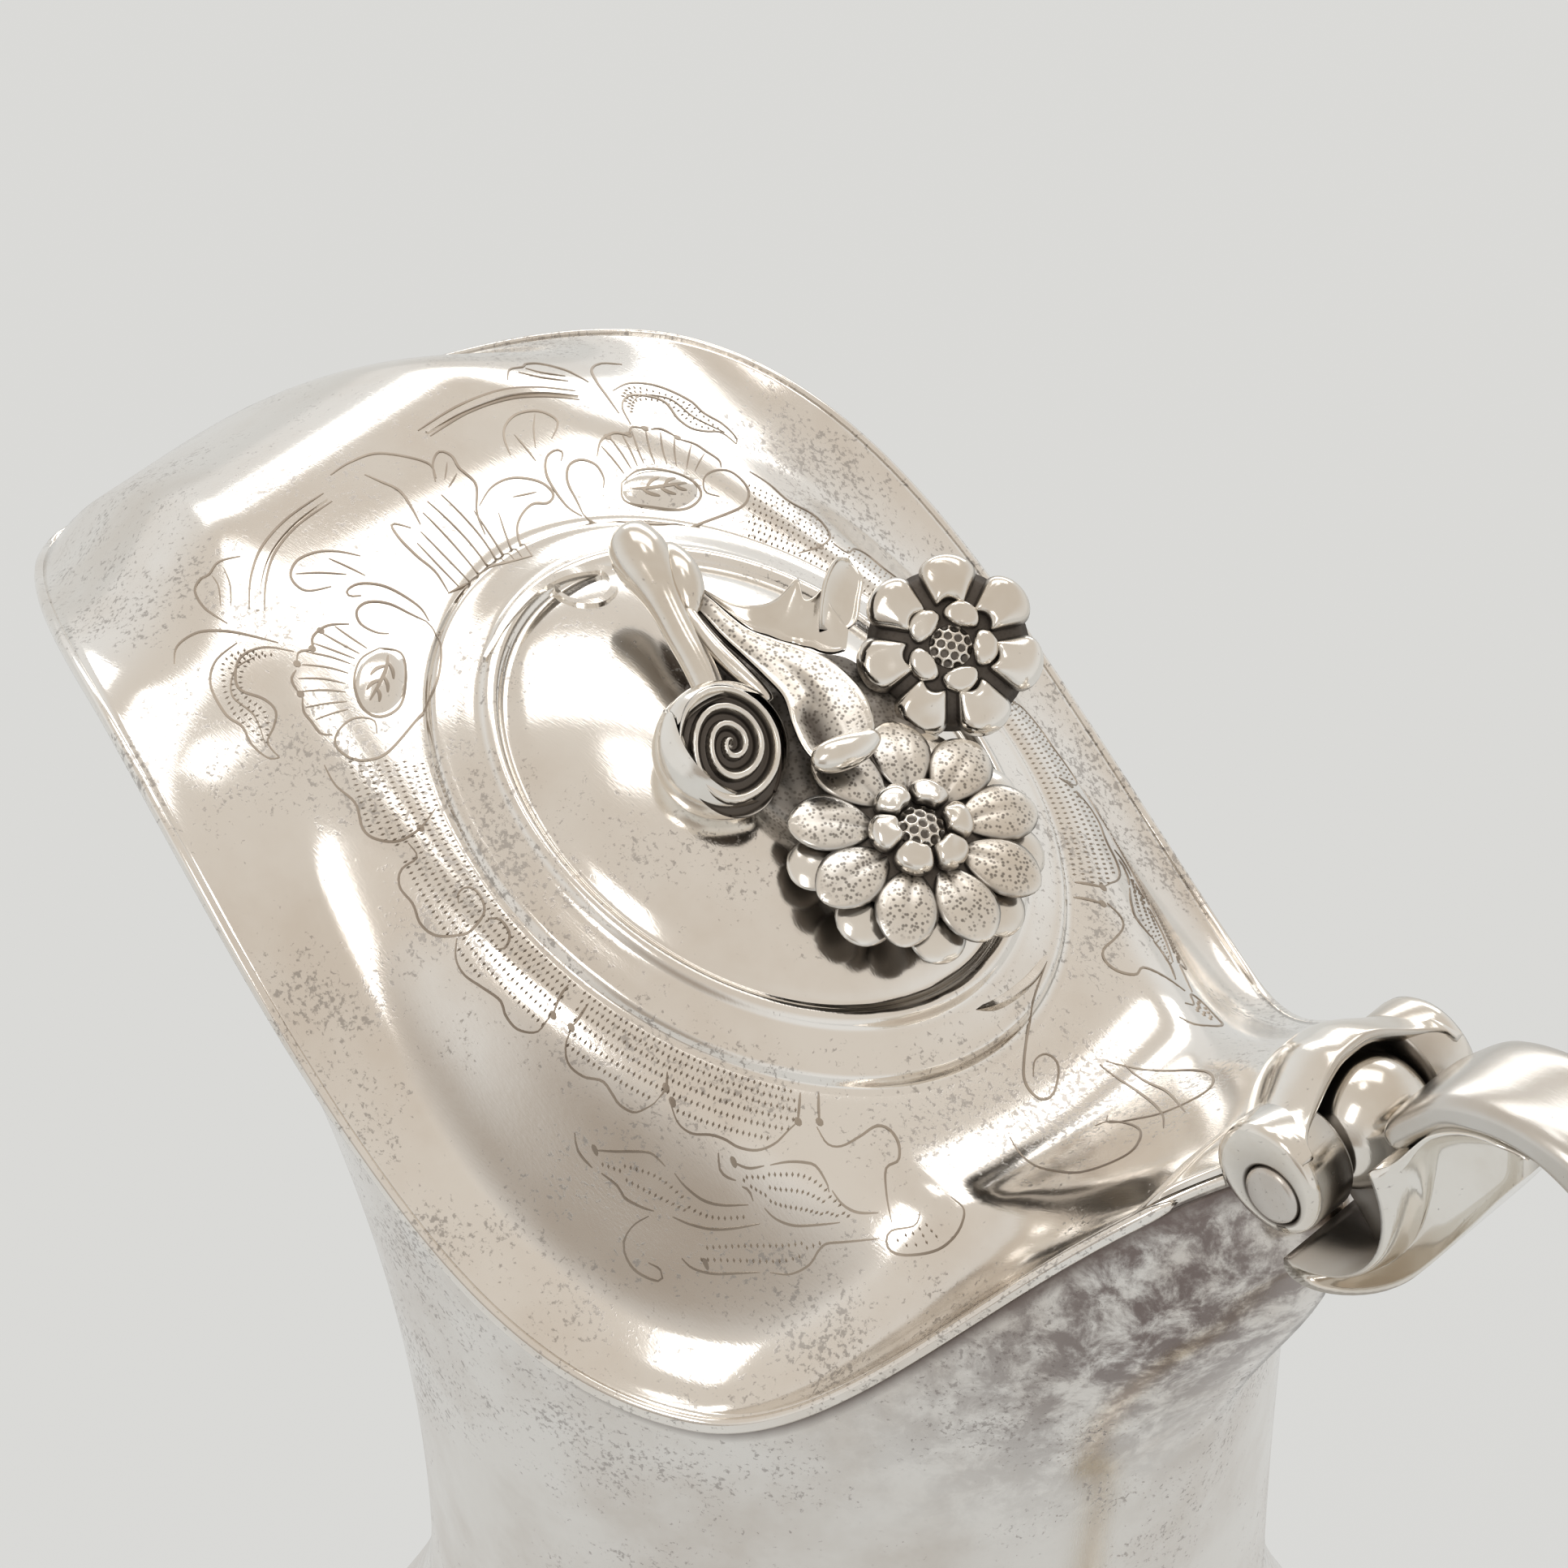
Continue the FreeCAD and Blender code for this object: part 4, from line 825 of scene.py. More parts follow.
        [(19.9, 4.8), (23.8, 4.2), (28.4, 1.4), (30.6, -1.0)], [(21.2, 6.1), (26.3, 4.4), (30.8, 1.2)],
    ],
    "heelScroll": [(24.1, -0.7), (25.1, 0.1), (28.5, -1.1), (30.2, -3.7), (29.8, -5.6), (27.8, -7.1),
                   (24.4, -6.9), (21.8, -6.2), (20.0, -5.4)],
}


def planSpot(share, turn):
    x = domeForm["x"] + domeReach * share * math.cos(turn)
    return x, domeForm["halfWidth"] * share * math.sin(turn)


def matPanels(cuts, side):  # rows of ticks between the dome's edge line and the panels' outline
    e = engraving
    drawn = [spot for k in e["outlinePanels"] for spot in flowing(e["panels"][k], 0.4)]
    edge = sorted(domePlace(x, y)[::-1] for x, y in drawn)
    first, last = edge[0][0], edge[-1][0]
    bins = np.linspace(first, last, e["outlineBins"])
    limit = [max([s for t, s in edge if abs(t - b) < 0.02], default=0) for b in bins]
    share = e["panelFrom"]
    row = 0
    while share < e["panelTo"]:
        turn = first + (e["stagger"] if row % 2 else 0.0)
        while turn < last:
            x, y = planSpot(share, turn)
            ahead = planSpot(share, turn + e["turnStep"])
            if share < float(np.interp(turn, bins, limit)) - e["panelMargin"]:
                way = math.atan2(side * (ahead[1] - y), ahead[0] - x) + math.pi / 2
                cuts.tick(x, side * y, way, *e["tick"], e["tickHeight"])
            turn += e["tickGap"] / math.hypot(ahead[0] - x, ahead[1] - y) * e["turnStep"]
        share += e["rowGap"] / domeForm["halfWidth"]
        row += 1


def matField(cuts, upper, lower, side):
    e = engraving
    above, below = flowing(upper, 0.5), flowing(lower, 0.5)
    tableA, tableB = outlineTable(above), outlineTable(below)
    length = sum(math.dist(a, b) for a, b in zip(above[:-1], above[1:]))
    steps = max(3, round(length / e["tickGap"]))
    for k in range(steps):
        spotA, spotB = alongTable(tableA, k / steps), alongTable(tableB, k / steps)
        nextA = alongTable(tableA, (k + 1) / steps)
        way = math.atan2(side * (nextA[1] - spotA[1]), nextA[0] - spotA[0])
        rows = max(1, round(math.dist(spotA, spotB) / e["rowGap"]))
        for r in range(rows):
            t = (r + 0.5) / rows
            x, y = (a + (b - a) * t for a, b in zip(spotA, spotB))
            cuts.tick(x, side * y, way + math.pi / 2, *e["tick"], e["tickHeight"])


def flip(points, side):
    return [(x, side * y) for x, y in points]


def makeEngraving():
    e = engraving
    lines, matting, raised = cutMesh(), cutMesh(), cutMesh()
    for side in (1, -1):
        for group in ("panels", "leaves", "scallop", "ribs"):
            for points in e[group]:
                lines.stroke(flip(points, side), e["fine"] if group == "ribs" else e["bold"], e["height"])
        for x, y in e["dots"]:
            ends = [(x - e["dotHalf"], side * y), (x, side * y + e["dotBow"]), (x + e["dotHalf"], side * y)]
            lines.stroke(ends, **e["dotCut"])
        for points in e["sprig"]:
            lines.stroke(flip([bossSpot(*spot) for spot in points], side), **e["sprigCut"])
        raised.cushion(side)
        raised.stroke(flip(e["sweep"], side), **e["sweepRib"])
        matPanels(matting, side)
        for upper, lower in e["fields"]:
            matField(matting, upper, lower, side)
    for group in ("palm", "palmVeins", "heel"):
        for points in e[group]:
            lines.stroke(points, e["fine"] if group == "palmVeins" else e["bold"], e["height"])
    for side in (1, -1):
        lines.stroke(flip(e["heelScroll"], side), e["bold"], e["height"])
    for points in e["volutes"]:
        raised.stroke(points, **e["voluteWire"])
    return lines.piece("engravedLines"), matting.piece("mattedGround"), raised.piece("domeVolutes")


# lines and matting take the dark cut finish, partly painted shade of the grooves; the volutes stay bright
for piece, finish in zip(makeEngraving(), ("cut", "cut", "sheet")):
    setDown(piece, "lid", "silver", silvers[finish], "lid_shell")
print("engraving cut")


# Half-round wire along the lid's edge
wireForm = {
    "backX": 39.0, "out": 0.22, "half": 0.46, "high": 0.10, "low": -1.25, "rows": 420, "sides": 16,
    "reachStep": 0.002, "endRows": 4, "squareness": 0.7,
}


def makeEdgeWire():
    f = wireForm
    spots = [spot for spot in lidTable[0] if spot[0] <= f["backX"]]
    table = outlineTable(spots)

    def place(u, w):
        x, y = alongTable(table, w)
        ahead = alongTable(table, min(1.0, w + f["reachStep"]))
        behind = alongTable(table, max(0.0, w - f["reachStep"]))
        way = Vector((ahead[0] - behind[0], ahead[1] - behind[1], 0)).normalized()
        out = Vector((way.y, -way.x, 0))
        if out.dot(Vector((x - potForm["widestX"], y, 0))) < 0:
            out = -out
        turn = 2 * math.pi * u
        end = math.sqrt(max(0.0, 1 - (1 - min(1.0, min(w, 1 - w) * f["rows"] / f["endRows"])) ** 2))
        middle, tall = (f["high"] + f["low"]) / 2, (f["high"] - f["low"]) / 2
        spot = Vector((x, y, saddleTop(x, y) + middle))
        spot += out * (f["out"] + f["half"] * end * math.cos(turn))
        spot.z += tall * end * math.copysign(abs(math.sin(turn)) ** f["squareness"], math.sin(turn))
        return tuple(spot)

    return gridPiece("edgeWire", f["sides"], f["rows"], place)


setDown(makeEdgeWire(), "lid", "silver", silvers["sheet"], "lid_edge_wire")
print("edge wire made")


# Finial: twig, leaves, rosebud and two flowers, cast, with painted shade in the hollows and undersides
def domeMatrix():
    turn = Matrix.Rotation(domeLean, 4, "Y")
    base = Vector((domeForm["x"], 0, domeForm["level"]))
    return Matrix.Translation(base + turn @ Vector((0, 0, domeForm["rise"]))) @ turn


domeFrame = domeMatrix()


def facing(centre, way, spin=0.0):  # frame on the dome whose Z looks along a way
    look = Vector(way).normalized().to_track_quat("Z", "Y").to_matrix().to_4x4()
    return domeFrame @ Matrix.Translation(centre) @ look @ Matrix.Rotation(math.radians(spin), 4, "Z")


def moved(piece, matrix):
    shift = matrix.copy()
    shift.translation = matrix.translation * mm
    piece.data.transform(shift)
    return piece


def joined(name, pieces):
    pick(*pieces)
    bpy.ops.object.join()
    made = bpy.context.object
    made.name = made.data.name = name
    return made


# painted shade in each hollow and underside of the finial, as a paintedShade value
shades = {
    "petalUnder": 0.9, "petalRoot": 0.95, "petalEdge": 0.85, "petalVein": 2.4, "padUnder": 0.75,
    "padEdge": 0.9, "seedPit": 0.9, "calyxTop": 0.95, "calyxUnder": 0.55, "budGroove": 0.95, "wrapFoot": 0.95,
    "groundTop": 0.74, "groundUnder": 0.6, "leafUnder": 0.95, "leafRoot": 0.55, "leafPit": 0.95,
    "leafCrease": 0.55, "veinGroove": 0.9, "stemUnder": 0.7, "tipUnder": 0.85,
}
petalMarks = {
    "veinWidth": 0.13, "veinRun": 0.28, "edge": (0.74, 1.0), "edgeFade": 0.75, "matteAcross": (0.86, 0.66),
    "matteRoot": (0.0, 0.2), "matteTip": (0.95, 0.8), "padEdge": (0.86, 0.98),
}
seedForm = {
    "pitch": 2.05, "domeShare": 0.8, "rise": 0.30, "pit": (0.44, 0.28), "pitDepth": 0.13, "skirt": 0.9,
    "lift": 0.55,
}


def petalPlace(f):
    marks = petalMarks

    def place(u, w):
        top, t = bothFaces(u)
        s = (1 - math.cos(math.pi * w)) / 2
        swell = max(0.0, math.sin(math.pi * s ** f["belly"])) ** f["fullness"]
        lift = f["rise"] * s + f["curl"] * s * s
        x, y = f["length"] * s, f["breadth"] * (f["taper"] + (1 - f["taper"]) * s) * swell * t
        fade = max(0.0, 1 - abs(t) ** f["flat"])
        # painted shade: under the petal, and on top at the root, in the vein and along the edges
        if not top:
            return (x, y, lift - f["thick"] * swell * fade ** 0.5, shades["petalUnder"], 0.0)
        vein = bell(t, 0, marks["veinWidth"]) * math.exp(-s / marks["veinRun"])
        z = lift + f["crown"] * swell * fade - f["vein"] * vein
        root = shades["petalRoot"] * bell(s, 0, f["shade"])
        edge = shades["petalEdge"] * softStep(abs(t), *marks["edge"]) * (1 - marks["edgeFade"] * s)
        matte = f["matte"] * softStep(abs(t), *marks["matteAcross"])
        matte *= softStep(s, *marks["matteRoot"]) * softStep(s, *marks["matteTip"])
        return (x, y, z, max(root, f["vein"] * shades["petalVein"] * vein, edge), matte)
    return place


def padPlace(f, k):  # cushion that fills its sector of the ring, a little dented, with painted shade under it and at its edges
    def place(u, w):
        top, t = bothFaces(u)
        p = -math.cos(math.pi * w)
        span = max(0.0, 1 - abs(p) ** f["corner"][0]) ** (1 / f["corner"][1])
        far = f["middle"] + f["deep"] * p
        bearing = span * t * (math.pi / f["count"] - f["gap"] / 2 / far)
        far -= f["bow"] * (span * t) ** 2
        pillow = math.sqrt(max(0.0, (1 - t ** 4) * (1 - p ** 4)))
        level = f["level"] + f["slope"] * p
        x, y = far * math.cos(bearing), far * math.sin(bearing)
        if not top:
            return (x, y, level - f["thick"] * pillow, shades["padUnder"], 0.0)
        dent = f["dent"] * pillow * math.sin(2.6 * p + 1.9 * k + 0.8) * math.cos(2.9 * t + 2.3 * k)
        edge = petalMarks["padEdge"]
        dark = shades["padEdge"] * max(softStep(abs(t), *edge), softStep(-p, *edge))
        return (x, y, level + f["crown"] * pillow + dent, dark, 0.0)
    return place


def petalRing(f, matrix):
    petals = []
    for k in range(f["count"]):
        turn = Matrix.Rotation(math.radians(f["start"] + 360 * k / f["count"]), 4, "Z")
        if "middle" in f:
            petals.append(moved(gridPiece("pad", 48, 28, padPlace(f, k)), matrix @ turn))
            continue
        petal = gridPiece("petal", 32, 16, petalPlace(f))
        lean = Matrix.Rotation(-math.radians(f["lean"]), 4, "Y")
        step = Matrix.Translation((f["out"], 0, f["up"])) @ lean
        petals.append(moved(petal, matrix @ turn @ step))
    return petals


def seedHead(radius, matrix):  # low dome with honeycomb pits, and a skirt under it, its pits and skirt darkened as painted shade
    f = seedForm
    pitch = radius / f["pitch"]
    pits = [(pitch * (q + r / 2), pitch * r * math.sqrt(3) / 2) for q in range(-4, 5) for r in range(-4, 5)]

    def place(u, w):
        far = radius * min(1.0, w / f["domeShare"])
        low = max(0.0, w - f["domeShare"]) / (1 - f["domeShare"])
        x, y = far * math.cos(2 * math.pi * u), far * math.sin(2 * math.pi * u)
        near = min(math.hypot(x - a, y - b) for a, b in pits) / pitch
        pit = softStep(near, *f["pit"])
        level = radius * (f["rise"] * (1 - (far / radius) ** 2) - f["pitDepth"] * pit - f["skirt"] * low)
        return (x, y, level, max(shades["seedPit"] * pit, ease(low)), 0.0)

    return moved(gridPiece("seedHead", 96, 40, place), matrix)


flowers = {
    "largeFlower": {
        "node": "finial_large_flower", "seed": 1.75,
        "centre": (12.8, 1.6, 3.0), "way": (0.02, -0.06, 1.0), "spin": 8.0,
        "ground": [(0.0, 0.25), (2.2, 0.15), (4.2, -0.35), (6.4, -0.75), (7.0, -1.2), (5.2, -1.9),
                   (2.2, -2.8), (1.3, -5.6), (0.0, -5.6)],
        "rings": [
            {"count": 9, "start": 20, "out": 5.4, "up": -1.35, "lean": -4, "length": 4.6, "breadth": 2.2,
             "belly": 1.2, "taper": 1.0, "flat": 2, "fullness": 0.42, "crown": 0.5, "thick": 0.8, "rise": 0.3,
             "curl": -0.8, "vein": 0.0, "shade": 0.3, "matte": 0.0},
            {"count": 9, "start": 0, "out": 3.1, "up": -0.35, "lean": 2, "length": 6.6, "breadth": 2.5,
             "belly": 1.2, "taper": 0.9, "flat": 3, "fullness": 0.55, "crown": 0.42, "thick": 0.9,
             "rise": 0.9, "curl": -1.5, "vein": 0.35, "shade": 0.12, "matte": 1.0},
            {"count": 6, "start": 37, "middle": 2.95, "deep": 1.1, "gap": 0.16, "corner": (3.4, 2.4),
             "bow": 0.25, "level": 0.62, "slope": -0.25, "crown": 0.75, "thick": 0.8, "dent": 0.1},
        ],
    },
    "smallFlower": {
        "node": "finial_small_flower", "seed": 1.6,
        "centre": (3.4, 14.4, 4.5), "way": (0.22, -0.42, 0.88), "spin": 10.0,
        "ground": [(0.0, 0.3), (2.2, 0.25), (3.8, 0.1), (5.4, -0.45), (6.1, -1.1), (4.6, -1.9), (2.0, -2.8),
                   (1.2, -5.6), (0.0, -5.6)],
        "rings": [
            {"count": 7, "start": 0, "middle": 5.3, "deep": 1.75, "gap": 0.8, "corner": (6.0, 4.0),
             "bow": 0.8, "level": 0.05, "slope": -0.3, "crown": 0.85, "thick": 1.1, "dent": 0.12},
            {"count": 5, "start": 10, "middle": 2.6, "deep": 1.0, "gap": 0.2, "corner": (2.0, 1.4),
             "bow": 0.2, "level": 0.5, "slope": -0.1, "crown": 0.65, "thick": 0.7, "dent": 0.06},
        ],
    },
}


def makeFlower(name, f):
    matrix = facing(f["centre"], f["way"], f["spin"])
    pieces = [petal for ring in f["rings"] for petal in petalRing(ring, matrix)]
    pieces.append(seedHead(f["seed"], matrix @ Matrix.Translation((0, 0, seedForm["lift"]))))

    def calyx(u, w):  # ground and stalk that carry the petals, dark with painted shade
        far, level = rowAt(f["ground"], w)
        x, y = far * math.cos(2 * math.pi * u), far * math.sin(2 * math.pi * u)
        return (x, y, level, shades["calyxTop" if w < 0.55 else "calyxUnder"], 0.5)

    pieces.append(moved(gridPiece("calyx", 48, len(f["ground"]) - 1, calyx), matrix))
    return joined(name, pieces)


for name, f in flowers.items():
    setDown(makeFlower(name, f), "lid", "cast_silver", silvers["cast"], f["node"])
print("flowers made")

budForm = {
    "centre": (-0.9, -5.2, 3.2), "way": (0.3, -0.3, 0.85), "disc": 4.5, "turns": 3.4, "slant": -25.0,
    "top": 1.0, "length": 4.3, "faceShare": 0.8, "wide": 1.1, "tall": 0.84, "shift": (0.35, -0.25),
    "lift": 0.35, "sag": 0.03, "lipHeight": 1.0, "wrapThick": 0.42, "wrapEnd": 166.0, "wrapDrop": 1.0,
    "wrapLip": 0.22, "wrapLipRun": 0.06, "wrapSide": 0.95, "wrapLimit": 0.97,
    # what keeps the spiral from being even: size, count and start
    "waves": [(0.16, 2, 1.0), (0.08, 3, 0.4)],
    # wrapped petals: first and last bearing, least reach of the lip, reach and height of the cup
    "wraps": [(-32, 122, 4.15, 4.95, 3.45), (102, 232, 3.55, 5.05, 3.7), (196, 352, 2.95, 5.2, 3.95)],
}


def budFrame():
    look = Vector(budForm["way"]).normalized()
    across = (Vector((1, 0, 0)) - look * look.x).normalized()
    turn = Matrix((across, look.cross(across), look)).transposed().to_4x4()
    return domeFrame @ Matrix.Translation(budForm["centre"]) @ turn


def makeBudCore():
    f = budForm
    slant = math.radians(f["slant"])

    def place(u, w):
        turn = 2 * math.pi * u
        part = min(1.0, w / f["faceShare"])
        far = f["disc"] * part
        bend = sum(size * math.sin(count * turn + start) for size, count, start in f["waves"])
        phase = (f["turns"] * part ** 0.9 - u + bend * part) % 1.0
        lip = softStep(phase, 0.3, 0.7) * softStep(phase, 1.0, 0.88) * softStep(far, 0.0, 0.4)
        level = f["top"] + f["lift"] - f["sag"] * far * far + f["lipHeight"] * lip
        # painted shade in the grooves of the spiral; the back of the core is all painted shade
        dark = max(1 - softStep(phase, 0.42, 0.58), softStep(phase, 0.95, 0.99)) * softStep(far, 0.0, 0.3)
        wide, tall = f["wide"] * far * math.cos(turn), f["tall"] * far * math.sin(turn)
        x = wide * math.cos(slant) - tall * math.sin(slant) + f["shift"][0] * part * part
        y = wide * math.sin(slant) + tall * math.cos(slant) + f["shift"][1] * part * part
        if w > f["faceShare"]:  # back of the core, down to the stalk
            low = (w - f["faceShare"]) / (1 - f["faceShare"])
            return (x * (1 - low), y * (1 - low), f["top"] - f["length"] * low, 1.0, 0.0)
        return (x, y, level, shades["budGroove"] * dark, 0.0)

    return gridPiece("budCore", 120, 80, place)


def makeWrap(first, last, least, reach, high):
    f = budForm

    def place(u, w):
        side = math.sin(math.pi * w)
        turn = math.radians(first + (last - first) * w)
        lip = math.asin(min(f["wrapLimit"], f["wrapSide"] - (f["wrapSide"] - least / reach) * side ** 0.7))
        outer = u <= 0.5
        t = 2 * u if outer else 2 - 2 * u
        rise = lip + (math.radians(f["wrapEnd"]) - lip) * t
        inset = 0.0 if outer else f["wrapThick"] * min(1.0, 3.0 * side)
        edge = f["wrapLip"] * bell(t, 0, f["wrapLipRun"]) * side  # lip turned outward
        far = (reach - inset + edge) * math.sin(rise)
        level = (high - inset) * math.cos(rise) - f["wrapDrop"] + (0.3 * edge if outer else 0.0)
        # painted shade at the foot of the outer face and over the inner face
        dark = shades["wrapFoot"] * softStep(t, 0.72, 0.92) if outer else softStep(t, 0.0, 0.05)
        return (far * math.cos(turn), far * math.sin(turn), level, dark, 0.0)

    return gridPiece("budWrap", 60, 40, place)


budPieces = [makeBudCore()] + [makeWrap(*wrap) for wrap in budForm["wraps"]]
bud = joined("rosebud", [moved(piece, budFrame()) for piece in budPieces])
setDown(bud, "lid", "cast_silver", silvers["cast"], "finial_rosebud")

twigForm = {
    # a, b, c and radius along the stem on the dome
    "strand": [(-11.4, 1.4, 3.2, 0.0), (-11.2, 1.3, 3.25, 0.45), (-9.6, 0.7, 3.4, 0.62),
               (-7.4, 0.3, 3.5, 0.7), (-5.0, 0.2, 3.6, 0.7), (-2.9, 0.2, 3.7, 0.6), (-1.7, 0.2, 3.7, 0.4),
               (-1.5, 0.2, 3.7, 0.0)],
    "run": [(-19.6, 3.2, 2.2, 0.0), (-19.4, 3.15, 2.25, 1.0), (-18.7, 2.95, 2.35, 1.75),
            (-17.4, 2.5, 2.5, 2.15), (-16.0, 2.0, 2.6, 2.15), (-14.6, 1.5, 2.7, 1.85), (-13.2, 0.9, 2.8, 1.5),
            (-11.6, 0.2, 2.9, 1.3), (-9.8, -0.5, 2.9, 1.25), (-7.8, -1.2, 2.9, 1.2), (-5.6, -2.0, 2.7, 1.2),
            (-3.2, -3.2, 2.4, 1.1), (-2.2, -3.9, 2.2, 0.0)],
    "sheath": [(-16.6, 4.5, 2.8, 0.0), (-16.3, 4.4, 2.85, 0.6), (-15.2, 3.9, 3.0, 1.2),
               (-13.8, 3.2, 3.15, 1.5), (-12.3, 2.4, 3.2, 1.35), (-11.0, 1.6, 3.2, 0.8),
               (-10.2, 1.1, 3.1, 0.0)],
}


def tubeFrame(run, k):
    here = Vector(run[k][:3])
    way = (Vector(run[min(k + 1, len(run) - 1)][:3]) - Vector(run[max(k - 1, 0)][:3])).normalized()
    side = way.cross(Vector((0, 0, 1))).normalized()
    return here, side, side.cross(way)


def castTube(name, points, step, sides, finish, broad=1.0):
    # Round tube through (a, b, c, radius); finish(turn, a) gives the share of the radius and the painted
    # shade.
    run = flowing(points, step)

    def place(u, w):
        k = round(w * (len(run) - 1))
        here, side, raised = tubeFrame(run, k)
        turn = 2 * math.pi * u
        share, dark = finish(turn, run[k][0])
        spot = here + (side * math.cos(turn) * broad + raised * math.sin(turn)) * (run[k][3] * share)
        return (*spot, dark, 0.0)

    return moved(gridPiece(name, sides, len(run) - 1, place), domeFrame)


# share of painted shade on the underside of a tube
def underside(turn):
    return softStep(-math.sin(turn), 0.2, 0.7)


stemVein = {
    "bearing": 2.5, "middle": -12.0, "twist": 0.08, "width": 0.16, "depth": 0.16, "from": (-14.5, -13.0),
}


def stemFinish(turn, a):  # one vein along the stem; painted shade in its groove and on the stem's underside
    v = stemVein
    bearing = v["bearing"] - v["twist"] * (a - v["middle"])
    groove = bell(turn, bearing, v["width"]) * softStep(a, *v["from"])
    dark = shades["veinGroove"] * groove + shades["stemUnder"] * underside(turn)
    return 1 - v["depth"] * groove, min(1.0, dark)


def strandFinish(turn, a):  # painted shade all round but for its crest
    return 1.0, softStep(math.sin(turn), 0.35, -0.05)


# painted shade on the sheath's underside
def sheathFinish(turn, a):
    return 1.0, softStep(math.sin(turn), -0.2, -0.6)


# painted shade on the tip's underside
def tipFinish(turn, a):
    return 1.0, shades["tipUnder"] * underside(turn)


groundForm = {  # cast ground that joins the stems, darkened all over as painted shade
    "edge": [(-9.6, 1.2), (-6.4, 4.6), (-3.4, 7.6), (-1.4, 9.4), (1.4, 9.6), (5.6, 9.6), (9.0, 8.4),
             (11.2, 6.0), (12.2, 0.4), (8.4, -3.6), (4.4, -5.0), (0.8, -4.6), (-3.0, -2.6), (-6.8, -0.4)],
    "middle": (2.4, 3.6), "level": 1.8, "crown": 0.9, "low": -0.4, "sag": 0.045, "edgeDrop": 0.6,
    "ripple": 0.2, "rippleTo": 0.6, "edgeFrom": 0.69, "shadeTo": 0.7, "underFrom": 0.72, "topRows": 24,
    "under": [0.98, 1.0, 0.99, 0.96, 0.9, 0.8, 0.7, 0.6, 0.5, 0.4, 0.2, 0.0],
}


def makeGround():
    f = groundForm
    table = outlineTable(flowing(f["edge"] + f["edge"][:1], 0.4))
    midX, midY = f["middle"]
    shares = [k / f["topRows"] for k in range(f["topRows"])] + f["under"]

    def place(u, w):
        a, b = alongTable(table, u)
        share = rowAt(shares, w)
        x, y = midX + (a - midX) * share, midY + (b - midY) * share
        level = f["level"] + f["crown"] * (1 - share)
        if w > f["underFrom"]:  # underside, bowed with the dome
            level = f["low"] - f["sag"] * math.hypot(x, b * share)
        elif w > f["edgeFrom"]:
            level = f["level"] - f["edgeDrop"]
        if w < f["rippleTo"]:  # uneven, like clay pressed round the stems
            level += f["ripple"] * math.sin(1.9 * x + 0.7 * y) * math.sin(1.5 * y - 0.4 * x)
        return (x, y, level, shades["groundTop" if w < f["shadeTo"] else "groundUnder"], 0.8)

    return moved(gridPiece("finialGround", 120, len(shares) - 1, place), domeFrame)


stem = joined("finialStem", [
    castTube("twig", twigForm["run"], 0.28, 40, stemFinish),
    castTube("strand", twigForm["strand"], 0.35, 24, strandFinish),
    castTube("sheath", twigForm["sheath"], 0.35, 24, sheathFinish),
    makeGround(),
])
setDown(stem, "lid", "cast_silver", silvers["cast"], "finial_twig")

leafForms = {
    "stippledLeaf": {
        "node": "finial_large_leaf", "thick": 1.0, "crown": 0.28, "roll": 0.35, "matte": 1.0, "hollow": 1.0,
        "one": [(-11.6, 3.0, 3.8), (-7.4, 2.8, 4.4), (-5.0, 3.6, 4.8), (-2.8, 4.7, 5.2), (-0.6, 5.2, 5.6),
                (1.6, 5.1, 5.9), (3.3, 4.7, 6.0), (4.9, 3.8, 5.9), (5.7, 3.0, 5.8)],
        "two": [(-10.5, 1.8, 3.6), (-8.1, 1.3, 3.9), (-5.7, 1.1, 4.2), (-3.1, 0.8, 4.6), (-0.9, 0.4, 4.9),
                (1.1, -0.8, 5.0), (2.9, -1.7, 5.1), (4.4, -2.0, 5.2), (5.3, -1.5, 5.3)],
        "tip": [(4.3, -2.2, 5.1, 0.0), (4.5, -1.95, 5.2, 0.7), (5.0, -1.0, 5.4, 1.15), (5.5, 0.3, 5.6, 1.2),
                (5.8, 1.6, 5.7, 1.0), (5.8, 2.9, 5.7, 0.6), (5.7, 3.4, 5.7, 0.0)],
    },
    "notchedLeaf": {
        "node": "finial_small_leaf", "thick": 0.9, "crown": 0.12, "roll": 0.25, "matte": 0.0, "hollow": 0.0,
        "one": [(-11.9, 3.3, 3.7), (-9.5, 3.7, 4.1), (-7.8, 4.9, 4.8), (-7.3, 6.4, 5.1), (-7.6, 8.4, 5.4),
                (-7.4, 8.7, 5.4), (-5.9, 7.7, 5.4), (-5.6, 8.6, 5.5), (-5.7, 9.5, 5.6), (-4.2, 8.8, 5.6),
                (-2.0, 8.5, 5.4)],
        "two": [(-11.6, 3.2, 3.6), (-9.1, 3.3, 3.7), (-6.9, 3.5, 3.9), (-5.8, 4.1, 4.0), (-4.7, 4.6, 4.1),
                (-4.1, 5.0, 4.2), (-3.5, 5.2, 4.4), (-2.8, 5.7, 4.5), (-2.1, 6.0, 4.6), (-1.4, 6.6, 4.8),
                (-1.1, 7.5, 4.9)],
    },
    "leafLobe": {  # upright lobe at the end of the notched leaf
        "node": "finial_small_leaf", "thick": 0.9, "crown": -0.3, "roll": 0.3, "matte": 0.0, "hollow": 0.0,
        "one": [(-3.4, 6.8, 5.3), (-4.7, 7.9, 5.9), (-6.0, 9.6, 6.5), (-6.6, 11.3, 6.8), (-6.1, 12.4, 6.6)],
        "two": [(-2.3, 8.3, 5.0), (-2.2, 9.6, 5.3), (-3.2, 11.0, 5.6), (-4.4, 12.4, 5.9), (-5.9, 12.6, 6.2)],
    },
}
